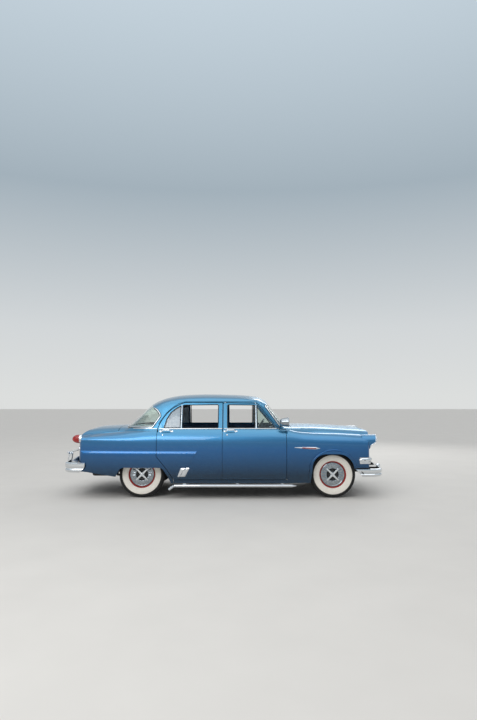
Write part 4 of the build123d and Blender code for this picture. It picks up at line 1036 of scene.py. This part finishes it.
for sideName, side in sides.items():
    doorPair = skinOf(f"front_door_{sideName}", f"rear_door_{sideName}")
    path = []
    for z in spaced(pillar["from"], pillar["to"], pillar["steps"]):
        reaches = [innerFace(doorPair, x, min(z, pillar["lastMet"]), side) for x in pillar["seen"]]
        reaches = [reach for reach in reaches if reach]
        if reaches:
            path.append((pillar["x"], side * (min(reaches) - pillar["clear"]), z))
    post = sweep(path, (0, side, 0), postSection)
    settle(post, f"centre_pillar_{sideName}", "car", trimVinyl, 40)
    path = []
    for x, z in alongCorners(doorTop, frameSeal["step"], last=0):
        reach = innerFace(doorPair, x, z, side)
        if reach and reach > frameSeal["beyond"]:
            path.append((x, side * (reach - frameSeal["clear"]), z))
    seal = sweep(path, (0, -side, 0), sealSection)
    settle(seal, f"door_frame_seal_{sideName}", "car", sealRubber, 40)
print("pillars closed")

# Carpets, toe board, shelf and boot mat
toeBoard = [(0.50, 0.3435), (0.86, 0.3435), (0.975, 0.60), (0.985, 0.602), (0.995, 0.59), (0.995, 0.345),
            (0.99, 0.3435)]
shelfOutline = [(-1.115, 0.962), (-1.115, 0.985), (-1.2, 1.0), (-1.5, 1.03), (-1.535, 1.03), (-1.535, 1.016),
                (-1.2, 0.986), (-1.14, 0.962)]
coverings = {  # outline, half width, bevel, its steps, slot, finish
    "floor_carpet_front": (toeBoard, 0.735, 0.003, 1, "seat_cloth", carpetPile),
    "floor_carpet_foot": (box(0.5, 0.3435, 0.87, 0.3535), 0.735, 0.003, 1, "seat_cloth", carpetPile),
    "floor_carpet_rear": (box(-0.445, 0.3435, -0.045, 0.3535), 0.745, 0.003, 1, "seat_cloth", carpetPile),
    "parcel_shelf": (shelfOutline, 0.53, 0.004, 2, "seat_cloth", headlining),
    "boot_mat": (box(-2.165, 0.4385, -1.66, 0.447), 0.52, 0.003, 1, "tyre_rubber", sealRubber),
}
for name, (outline, half, bevel, segments, slot, finish) in coverings.items():
    settle(slab(outline, -half, half, bevel, segments), name, "car", finish, 35)
print("floor covered")

# Door furniture: armrest, window winder, inside handle and a strip across the trim
armZ, stripZ = 0.77, 0.7
doorFurniture = {"front": {"arm": (0.1, 0.4), "winder": (0.42, 0.86), "pull": (0.2, 0.9)},
                 "rear": {"arm": (-0.45, -0.16), "winder": (-0.12, 0.86), "pull": (-0.45, 0.9)}}
winderArm, pullArm = (0.11, -0.9), (0.085, -0.15)  # length, angle
crankSection = oval(0.007, 0.004, 10)
plateProfile = [(0.0, -0.014), (0.008, -0.014), (0.011, -0.006), (0.024, -0.004), (0.027, 0.002),
                (0.0, 0.002)]
crankKnob = [(0.0, -0.028), (0.008, -0.027), (0.011, -0.02), (0.008, -0.006), (0.007, 0.004), (0.0, 0.004)]


def crank(wall, face, length, drop):  # an arm on a round plate
    way = Vector((-math.cos(drop), 0, math.sin(drop)))
    path = [wall + face * (0.012 + 0.012 * t) + way * length * t for t in (0, 0.2, 0.5, 0.8, 1.0)]
    arm = sweep(path, face, crankSection, shrink=[1, 1, 0.9, 0.85, 1.0])
    return [boss(plateProfile, wall, face, steps=28), arm], path[-1]


for nodeName in doorNames:
    end, _, sideName = nodeName.split("_")
    side, places = sides[sideName], doorFurniture[end]
    face = Vector((0, -side, 0))
    x1, x2 = places["arm"]

    def wallAt(x, z):
        return cast(skins[nodeName], (x, 0, z), (0, side, 0))[0]

    depth = abs(wallAt((x1 + x2) / 2, armZ).y)
    outline = [(x1, armZ - 0.012), (x1 + 0.03, armZ - 0.04), (x2 - 0.05, armZ - 0.045), (x2, armZ - 0.01),
               (x2, armZ + 0.018), (x2 - 0.05, armZ + 0.02), (x1, armZ + 0.012)]
    rest = slab(outline, side * (depth - 0.052), side * (depth + 0.002), 0.011, 3)
    settle(rest, f"arm_rest_{end}_{sideName}", nodeName, trimPale, 35)
    winder, knobPlace = crank(wallAt(*places["winder"]), face, *winderArm)
    pull, _ = crank(wallAt(*places["pull"]), face, *pullArm)
    cranks = [*winder, boss(crankKnob, knobPlace, face, steps=20), *pull]
    bright(joinAll(cranks), f"door_cranks_{end}_{sideName}", nodeName)
    line = [wallAt(x, stripZ) for x in spaced(x1 - 0.1, x2 + 0.1, 12)]
    bright(sweep(line, face, halfRound(0.014, 0.005)), f"door_card_strip_{end}_{sideName}", nodeName)
print("doors furnished")

# Dashboard: dials with their marks and hands, speaker bars and knobs
dash = {"face": 0.7745, "dialZ": 0.945, "tilt": Vector((-1, 0, 0.12)).normalized(), "ticks": 12,
        "dials": (("speed_dial", 0.38, 1.0, -120, 240 / 11), ("clock", -0.38, 0.6, 0, 30))}
bezelProfile = [(0.0, -0.004), (0.062, -0.004), (0.064, -0.012), (0.069, -0.014), (0.073, -0.009),
                (0.074, 0.006), (0.0, 0.006)]
knobShape = [(0.0, -0.026), (0.008, -0.025), (0.0115, -0.02), (0.010, -0.012), (0.005, -0.009),
             (0.005, 0.006), (0.0, 0.006)]
for name, y, size, firstTick, tickStep in dash["dials"]:
    place = Vector((dash["face"], y, dash["dialZ"]))

    def dialFinish(centre, normal):
        return int((centre - place).length < 0.061 * size and normal.x < -0.9)

    bezel = boss([(radius * size, along) for radius, along in bezelProfile], place, dash["tilt"], steps=48)
    paintFaces(bezel, (chromePlate, dialIvory), dialFinish)
    settle(bezel, f"dash_{name}", "car", angle=40)
    marks = []
    for k in range(dash["ticks"]):
        tick = slab(box(0, 0.043 * size, -0.0015, 0.056 * size), -0.0012, 0.0012, 0)
        lifted = Matrix.Translation(place + dash["tilt"] * 0.0042)
        marks.append(moved(tick, lifted @ turn(firstTick + tickStep * k, "X")))
    hand = slab(box(0, -0.012 * size, -0.002, 0.05 * size), -0.0014, 0.0014, 0)
    marks.append(moved(hand, Matrix.Translation(place + dash["tilt"] * 0.006) @ turn(-70, "X")))
    settle(joinAll(marks), f"dash_{name}_marks", "car", blackEnamelAndPaintedShade, 40)
speakerBars = []
for y in spaced(-0.09, 0.09, 12):
    path = [(dash["face"] + 0.001 + 0.02 * abs(t - 0.35), y, 0.885 + 0.11 * t) for t in spaced(0, 1, 4)]
    speakerBars.append(sweep(path, (-1, 0, 0), halfRound(0.006, 0.005, 0.004)))
bright(joinAll(speakerBars), "dash_speaker_bars")
knobPlaces = ((0.2, 0.90), (0.16, 0.90), (0.56, 0.90), (0.6, 0.90), (-0.135, 0.90), (-0.5, 0.895))
bright(joinAll([boss(knobShape, (0.785, y, z), (-1, 0, 0), steps=20) for y, z in knobPlaces]), "dash_knobs")
print("dashboard fitted")

# Steering wheel's horn ring and cap, which turn with the wheel
wheelHub = {"centre": (0.56, 0.38, 0.96), "axis": Vector((-0.85, 0, 0.5268)).normalized(), "ring": 0.125,
            "lift": 0.03}
hubProfile = [(0.0, -0.046), (0.018, -0.044), (0.03, -0.036), (0.034, -0.026), (0.03, -0.012), (0.0, -0.012)]
circle = oval(wheelHub["ring"], wheelHub["ring"], 48)
ringPath, ringOut = [(x, -wheelHub["lift"], z) for x, z in circle], [(x, 0, z) for x, z in circle]
hornParts = [sweep(ringPath, ringOut, oval(0.005, 0.005, 10), True), turned(hubProfile, 40)]
for side in sides.values():
    path = [(side * 0.02, -0.03, 0), (side * 0.07, -0.033, 0), (side * 0.124, -0.03, 0)]
    hornParts.append(sweep(path, (0, -1, 0), halfRound(0.012, 0.004, 0.003)))
lean = Vector((0, -1, 0)).rotation_difference(wheelHub["axis"]).to_matrix().to_4x4()
horn = moved(joinAll(hornParts), Matrix.Translation(wheelHub["centre"]) @ lean)
bright(horn, "horn_ring", "steering_wheel")

# Pedals and mirror
pedalParts = []
for y in (0.46, 0.34):
    pad = slab([(0.80, 0.44), (0.812, 0.434), (0.842, 0.496), (0.83, 0.502)], y - 0.03, y + 0.03, 0.004)
    path = [(0.828, y, 0.466), (0.87, y, 0.47), (0.93, y, 0.5), (0.99, y, 0.56)]
    pedalParts += [pad, sweep(path, (0, 1, 0), halfRound(0.016, 0.006, 0.006))]
pedalParts.append(slab([(0.86, 0.362), (0.872, 0.357), (0.93, 0.478), (0.918, 0.484)], 0.2, 0.25, 0.004))
settle(joinAll(pedalParts), "pedals", "car", sealRubber, 40)
mirror = slab([(0.565, 1.342), (0.572, 1.338), (0.583, 1.392), (0.575, 1.397)], -0.11, 0.11, 0.0045, 3)
paintFaces(mirror, (chromePlate, trimPale), lambda centre, normal: int(normal.x >= -0.8))
stalk = sweep([(0.58, 0, 1.37), (0.6, 0, 1.39), (0.625, 0, 1.415)], (0, 1, 0), oval(0.005, 0.005, 8))
paintFaces(stalk, (chromePlate, trimPale))
settle(joinAll([mirror, stalk]), "rear_view_mirror", "car", angle=40)
print("cabin fitted")

# Bonnet ornament, wipers, boot handle and plate lamp, wheel arch beads
ornament = {"from": 2.03, "to": 2.255, "width": 0.034, "rise": 0.02}
row = [(x, 0, 1.3) for x in spaced(ornament["from"], ornament["to"], 16)]
points, outs = castRow(skins["bonnet"], row, (0, 0, -1))
taper = [max(0.08, min(1.0, t * 1.6 + 0.05, (1.03 - t) * 5)) for t in spaced(0, 1, 16)]
section = halfRound(ornament["width"], ornament["rise"], 0.002, 10)
bright(sweep(points, outs, section, shrink=taper), "bonnet_ornament", "bonnet", 50)

pivotProfile = [(0.0, -0.024), (0.008, -0.023), (0.011, -0.016), (0.012, -0.006), (0.016, 0.002),
                (0.0, 0.002)]
wiper = {"x": 1.6, "y": 0.06, "step": 0.036, "z": 1.128, "climb": 0.0015, "points": 13, "proud": 0.006}
glassSkin, cowlSkin = skinOf("windscreen"), skinOf("cowl", "bonnet", "roof_panel", "windscreen")
for sideName, side in sides.items():
    row = [(wiper["x"], side * (wiper["y"] + wiper["step"] * i), wiper["z"] + wiper["climb"] * i)
           for i in range(wiper["points"])]
    points, outs = castRow(glassSkin, row, (-1, 0, 0))
    points = liftedBy(points, outs, [wiper["proud"]] * len(points))
    squeegee = sweep(points, outs, halfRound(0.009, 0.006, 0.005))
    middle = points[len(points) // 2]
    foot = cast(cowlSkin, (1.03, side * 0.5, 1.3), (0, 0, -1))[0]
    path = [foot + Vector((0, 0, 0.016)), foot.lerp(middle, 0.5) + Vector((0.008, 0, 0.02)),
            middle + Vector((0.006, 0, 0.004))]
    wiperParts = [sweep(path, (1, 0, 0.5), halfRound(0.01, 0.004, 0.003)),
                  boss(pivotProfile, foot, (0, 0, 1), steps=20), squeegee]
    for part in wiperParts:
        paintFaces(part, (chromePlate, sealRubber), lambda centre, normal: int(part == squeegee))
    settle(joinAll(wiperParts), f"wiper_{sideName}", "car", angle=40)

bootSkin = skinOf("boot_lid")
for name, z, half, rise in (("boot_handle", 0.80, 0.09, 0.022), ("boot_plate_lamp", 0.86, 0.13, 0.026)):
    points, outs = castRow(bootSkin, [(-3, y, z) for y in spaced(-half, half, 16)], (1, 0, 0))
    taper = [0.35 + 0.65 * math.sin(math.pi * t) ** 0.5 for t in spaced(0, 1, 16)]
    bright(sweep(points, outs, halfRound(0.03, rise, 0.002, 10), shrink=taper), name, "boot_lid", 50)

archBead = {"x": 1.672, "z": 0.35, "from": 0.37, "step": 0.002, "to": 0.5, "inset": 0.013, "beyond": 0.8,
            "every": 4}  # degrees
for sideName, side in sides.items():

    def archPoint(way, radius):
        x, z = archBead["x"] + way.x * radius, archBead["z"] + way.y * radius
        return onSide(skins["front_fenders"], x, z, side)

    found = []
    for degrees in range(archBead["every"], 180 - archBead["every"], archBead["every"]):
        way = Vector((math.cos(math.radians(degrees)), math.sin(math.radians(degrees))))
        radius = archBead["from"]
        while radius < archBead["to"] and archPoint(way, radius) is None:
            radius += archBead["step"]
        met = archPoint(way, radius + archBead["inset"])
        if met and radius < archBead["to"] and abs(met[0].y) > archBead["beyond"]:
            found.append(met)
    bead = sweep([hit for hit, _ in found], [normal for _, normal in found], halfRound(0.022, 0.006))
    settle(bead, f"wheel_arch_bead_{sideName}", "car", enamelBlue, 50)
print("outside finished")


# Engine bay
def stood(profile, x, y, z, steps):  # a turned fitting with its face upwards
    return boss(profile, (x, y, z), (0, 0, 1), steps=steps)


def tube(path, side, radius, steps):
    return sweep(path, side, oval(radius, radius, steps))


def onEngine(piece, name, finish, angle=40):
    settle(piece, name, "car", finish, angle)


rockerOutline = [(1.21, 0.898), (1.81, 0.898), (1.81, 0.93), (1.79, 0.958), (1.23, 0.958), (1.21, 0.93)]
nutProfile = [(0.0, -0.018), (0.01, -0.018), (0.013, -0.012), (0.013, -0.004), (0.02, 0.0), (0.0, 0.003)]
rocker = paintFaces(slab(rockerOutline, -0.075, 0.075, 0.012, 3), (dashEnamel, bareSteel))
nuts = [stood(nutProfile, x, 0, 0.958, 12) for x in (1.35, 1.51, 1.67)]
for nut in nuts:
    paintFaces(nut, (dashEnamel, bareSteel), lambda centre, normal: 1)
onEngine(joinAll([rocker, *nuts]), "rocker_cover", None)
cleanerProfile = [
    (0.0, -0.14), (0.03, -0.139), (0.1, -0.134), (0.122, -0.124), (0.128, -0.108), (0.126, -0.102),
    (0.132, -0.098), (0.134, -0.078), (0.126, -0.066), (0.06, -0.056), (0.045, -0.04), (0.042, 0.002),
    (0.0, 0.002),
]
onEngine(stood(cleanerProfile, 1.45, 0.14, 0.895, 56), "air_cleaner", blackEnamelAndPaintedShade, 35)

portStart, portPitch, ports = 1.27, 0.092, 6
downPath = [(1.5, -0.205, 0.78), (1.46, -0.225, 0.68), (1.36, -0.24, 0.5), (1.22, -0.235, 0.34),
            (1.08, -0.225, 0.235), (0.95, -0.22, 0.212)]
manifold = [tube([(x, -0.205, 0.79) for x in spaced(1.25, 1.75, 10)], (0, -1, 0), 0.027, 12)]
for k in range(ports):
    x = portStart + portPitch * k
    manifold.append(tube([(x, -0.165, 0.82), (x, -0.19, 0.812), (x, -0.205, 0.795)], (1, 0, 0), 0.021, 12))
manifold.append(tube(downPath, (0, -1, 0), 0.026, 12))
onEngine(joinAll(manifold), "exhaust_manifold", castIron)

canHalf = [(0.0, 0.11), (0.03, 0.108), (0.052, 0.1), (0.055, 0.08)]
canProfile = [(radius, -y) for radius, y in canHalf] + [(0.055, 0.08), (0.05, 0.1), (0.0, 0.1)]
cans = (("dynamo", (1.6, 0.235, 0.62), 1.0, "Z"), ("oil_filter", (1.35, 0.225, 0.46), 0.8, "X"))
for name, place, size, axis in cans:
    can = turned([(radius * size, y * size) for radius, y in canProfile], 32)
    onEngine(moved(can, shift(*place), turn(90, axis)), name, blackEnamelAndPaintedShade)

fan = {"blades": 4, "pitch": 28, "centre": (1.935, 0, 0.64)}
hubProfile = [(0.0, -0.022), (0.035, -0.02), (0.045, -0.01), (0.045, 0.012), (0.0, 0.012)]
pulleyProfile = [(0.0, 0.012), (0.062, 0.012), (0.066, 0.018), (0.055, 0.028), (0.066, 0.038), (0.062, 0.044),
                 (0.02, 0.044), (0.02, 0.092), (0.0, 0.092)]
bladeOutline = [(0.03, -0.03), (0.19, -0.042), (0.2, -0.03), (0.2, 0.03), (0.19, 0.042), (0.03, 0.03)]
fanParts = [turned(hubProfile, 32), turned(pulleyProfile, 40)]
for k in range(fan["blades"]):
    fanBlade = slab(bladeOutline, -0.0015, 0.0015, 0.001, 1)
    fanParts.append(moved(fanBlade, turn(360 / fan["blades"] * k, "Y"), turn(fan["pitch"], "X")))
onEngine(moved(joinAll(fanParts), shift(*fan["centre"]), turn(90, "Z")), "cooling_fan", bareSteel)

topTank = [(2.052, 0.852), (2.128, 0.852), (2.128, 0.888), (2.115, 0.905), (2.065, 0.905), (2.052, 0.888)]
radiatorParts = [slab(topTank, -0.335, 0.335), slab(box(2.054, 0.422, 2.126, 0.465), -0.335, 0.335, 0.008)]
finSection = [(-0.003, -0.002), (-0.002, 0.0035), (0.002, 0.0035), (0.003, -0.002)]
for y in spaced(-0.32, 0.32, 41):
    for x, out in ((2.07, -1), (2.11, 1)):
        radiatorParts.append(sweep([(x, y, 0.46), (x, y, 0.86)], (out, 0, 0), finSection))
onEngine(joinAll(radiatorParts), "radiator_tanks", coreMetal, 35)
capShape = [(0.0, -0.03), (0.02, -0.029), (0.03, -0.024), (0.031, -0.014), (0.022, -0.01), (0.022, 0.004),
            (0.0, 0.004)]
onEngine(stood(capShape, 2.09, 0, 0.905, 32), "radiator_cap", bareSteel)
hosePath = [(1.82, 0.02, 0.885), (1.86, 0.03, 0.92), (1.92, 0.05, 0.93), (1.99, 0.08, 0.915),
            (2.03, 0.1, 0.89), (2.056, 0.11, 0.88)]
onEngine(tube(hosePath, (0, 1, 0), 0.023, 14), "coolant_pipe", sealRubber, 50)

batteryParts = [slab(box(1.12, 0.632, 1.36, 0.8), 0.262, 0.425, 0.006),
                slab(box(1.1, 0.618, 1.38, 0.634), 0.25, 0.441, 0.003)]
for part in batteryParts:
    paintFaces(part, (blackEnamelAndPaintedShade, bareSteel))
terminals = [(1.15, 0.29, 0.011, 0.018), (1.33, 0.29, 0.011, 0.018)]
fillers = [(1.17 + 0.07 * k, 0.36, 0.015, 0.008) for k in range(3)]
for x, y, radius, rise in terminals + fillers:
    profile = [(0.0, -rise), (radius * 0.8, -rise), (radius, -rise * 0.7), (radius, 0.002), (0.0, 0.002)]
    post = stood(profile, x, y, 0.8, 16)
    batteryParts.append(paintFaces(post, (blackEnamelAndPaintedShade, bareSteel), lambda centre, normal: int(rise > 0.01)))
onEngine(joinAll(batteryParts), "battery_on_tray", None)

# Braces pressed into the lids
braceSection = [(-0.028, -0.003), (-0.018, 0.014), (0.018, 0.014), (0.028, -0.003)]
braces = {  # (x, y) from and to
    "bonnet": [(1.16, -0.42, 1.16, 0.42), (2.12, -0.42, 2.12, 0.42), (1.18, -0.38, 2.1, 0.1),
               (1.18, 0.38, 2.1, -0.1)],
    "boot_lid": [(-1.72, -0.4, -1.72, 0.4), (-1.74, -0.3, -2.1, -0.05), (-1.74, 0.3, -2.1, 0.05)],
}
for lid, rows in braces.items():
    lidSkin, ribs = skinOf(lid), []
    for x1, y1, x2, y2 in rows:
        starts = [(x, y, 0.55) for x, y in zip(spaced(x1, x2, 18), spaced(y1, y2, 18))]
        ribs.append(sweep(castRow(lidSkin, starts, (0, 0, 1))[0], (0, 0, -1), braceSection))
    settle(joinAll(ribs), f"{lid}_braces", lid, enamelBlue, 35)
print("engine bay fitted")

# Underneath: exhaust and springs
exhaustPath = [
    (0.97, -0.22, 0.212), (0.6, -0.22, 0.212), (0.2, -0.225, 0.212), (-0.52, -0.235, 0.212),
    (-0.62, -0.2, 0.212), (-0.8, 0.12, 0.21), (-0.92, 0.27, 0.208), (-1.03, 0.31, 0.206),
    (-1.249, 0.32, 0.206), (-1.42, 0.37, 0.225), (-1.62, 0.47, 0.33), (-1.78, 0.51, 0.385),
    (-2.2, 0.52, 0.395), (-2.4, 0.52, 0.375),
]
silencerHalf = [(0.0, 0.31), (0.03, 0.31), (0.07, 0.28), (0.078, 0.26)]
silencerProfile = [(radius, -y) for radius, y in silencerHalf] + silencerHalf[::-1]
silencer = moved(turned(silencerProfile, 36), shift(-0.18, -0.23, 0.212), turn(90, "Z"), scaled(1.1, 1, 0.72))
onEngine(joinAll([silencer, tube(exhaustPath, (0, 0, -1), 0.024, 14)]), "exhaust_system", bareSteel)

leafSpring = {"x": -1.249, "y": 0.5, "eye": 0.66, "z": 0.292, "rise": 0.065, "leaves": 5, "shorter": 0.17,
              "thick": 0.009, "half": 0.028}
coilSpring = {"x": 1.672, "y": 0.47, "z": 0.34, "pitch": 1 / 30, "turns": 6, "steps": 20, "wire": 0.0075,
              "radius": 0.052}
eyeHalf = [(0.0, 0.032), (0.02, 0.032), (0.024, 0.028)]
eyeProfile = [(radius, -y) for radius, y in eyeHalf] + eyeHalf[::-1]
leafSection = [(leafSpring["half"] * a, leafSpring["thick"] * out) for a, out in (
    (-1, -0.46), (-1, 0.46), (1, 0.46), (1, -0.46))]
for sideName, side in sides.items():
    leaves, y = [], side * leafSpring["y"]
    for k in range(leafSpring["leaves"]):
        share, level = 1 - leafSpring["shorter"] * k, leafSpring["z"] - leafSpring["thick"] * k
        path = [(leafSpring["x"] + leafSpring["eye"] * t, y, level + leafSpring["rise"] * t ** 2)
                for t in spaced(-share, share, 16)]
        leaves.append(sweep(path, (0, 0, 1), leafSection))
    for end in (-1, 1):
        place = (leafSpring["x"] + end * leafSpring["eye"], y, leafSpring["z"] + leafSpring["rise"] + 0.008)
        leaves.append(moved(turned(eyeProfile, 24), shift(*place)))
    onEngine(joinAll(leaves), f"leaf_spring_{sideName}", chassisBlack, 35)
    path, outs = [], []
    for lap in spaced(0, coilSpring["turns"], coilSpring["steps"] * coilSpring["turns"]):
        out = Vector((math.cos(fullTurn * lap), math.sin(fullTurn * lap), 0))
        height = coilSpring["z"] + coilSpring["pitch"] * lap
        middle = Vector((coilSpring["x"], side * coilSpring["y"], height))
        path.append(middle + out * coilSpring["radius"])
        outs.append(out)
    coil = sweep(path, outs, oval(coilSpring["wire"], coilSpring["wire"], 8))
    onEngine(coil, f"coil_spring_{sideName}", chassisBlack, 60)
print("underside fitted")

# Stage, lamps and camera
stage = {"half": 60.0, "ambient": 0.55, "glow": "#f4f6fa"}
takeUp()
bpy.ops.mesh.primitive_plane_add(size=2 * stage["half"], location=(0, 0, 0))
floor = bpy.context.object
floor.name = "floor"
floor.data.materials.append(mixedFinish("stageFloor", "#cfcdc8", "#d8d6d1", 0.6, (0.75, 0.85)))

backdrop = ((0.0, "#dcdedd"), (0.12, "#d2d6d8"), (0.35, "#a3b1bb"), (0.6, "#c4d2dc"), (1.0, "#f4f8fb"))
world = bpy.data.worlds.new("studio")
bpy.context.scene.world = world
world.use_nodes = True
tree = world.node_tree
tree.nodes.clear()
ray = addNode(tree, "ShaderNodeLightPath").outputs
seen = ray["Is Camera Ray"]
for kind in ("Is Glossy Ray", "Is Transmission Ray"):
    seen = addNode(tree, "ShaderNodeMath", {0: seen, 1: ray[kind]}, operation="MAXIMUM").outputs[0]
direction = addNode(tree, "ShaderNodeTexCoord").outputs["Generated"]
climb = addNode(tree, "ShaderNodeSeparateXYZ", {0: direction}).outputs["Z"]
ramp = addNode(tree, "ShaderNodeValToRGB", {0: climb})
while len(ramp.color_ramp.elements) < len(backdrop):
    ramp.color_ramp.elements.new(0.5)
for element, (position, code) in zip(ramp.color_ramp.elements, backdrop):
    element.position = position
    element.color = hexColour(code)
shown = addNode(tree, "ShaderNodeBackground", {"Color": ramp.outputs[0], "Strength": 1.0})
lit = addNode(tree, "ShaderNodeBackground", {"Color": hexColour(stage["glow"]), "Strength": stage["ambient"]})
mixed = addNode(tree, "ShaderNodeMixShader", {0: seen, 1: lit.outputs[0], 2: shown.outputs[0]})
addNode(tree, "ShaderNodeOutputWorld", {"Surface": mixed.outputs[0]})

sky = {"strength": 0.85, "spread": 70, "lean": (14, -8)}
softbox = {"width": 6.0, "height": 3.5, "aim": (0, 0, 0.8)}
softboxes = {"nearSoftbox": ((-3.5, -8.5, 6.0), 270), "farSoftbox": ((4.0, 8.0, 5.5), 180)}  # place, watts
skylight = bpy.data.lights.new("skylight", "SUN")
skylight.energy, skylight.angle = sky["strength"], math.radians(sky["spread"])
linked("skylight", skylight).rotation_euler = (*map(math.radians, sky["lean"]), 0)
for name, (place, watts) in softboxes.items():
    light = bpy.data.lights.new(name, "AREA")
    light.shape, light.energy = "RECTANGLE", watts
    light.size, light.size_y = softbox["width"], softbox["height"]
    lamp = linked(name, light)
    lamp.location = place
    lamp.rotation_euler = (Vector(softbox["aim"]) - Vector(place)).to_track_quat("-Z", "Y").to_euler()

# the photograph's view: a 28 mm lens at about the roof's height, tipped up a little
cameraSet = {"lens": 28.0, "sensor": 36.0, "place": (0.2315, -9.458, 1.540), "pitch": 3.74}
eye = bpy.data.cameras.new("camera")
eye.lens, eye.sensor_width = cameraSet["lens"], cameraSet["sensor"]
camera = linked("camera", eye)
camera.location = cameraSet["place"]
camera.rotation_euler = (math.radians(90 + cameraSet["pitch"]), 0, 0)
bpy.context.scene.camera = camera
bpy.context.scene.view_settings.view_transform = "Standard"
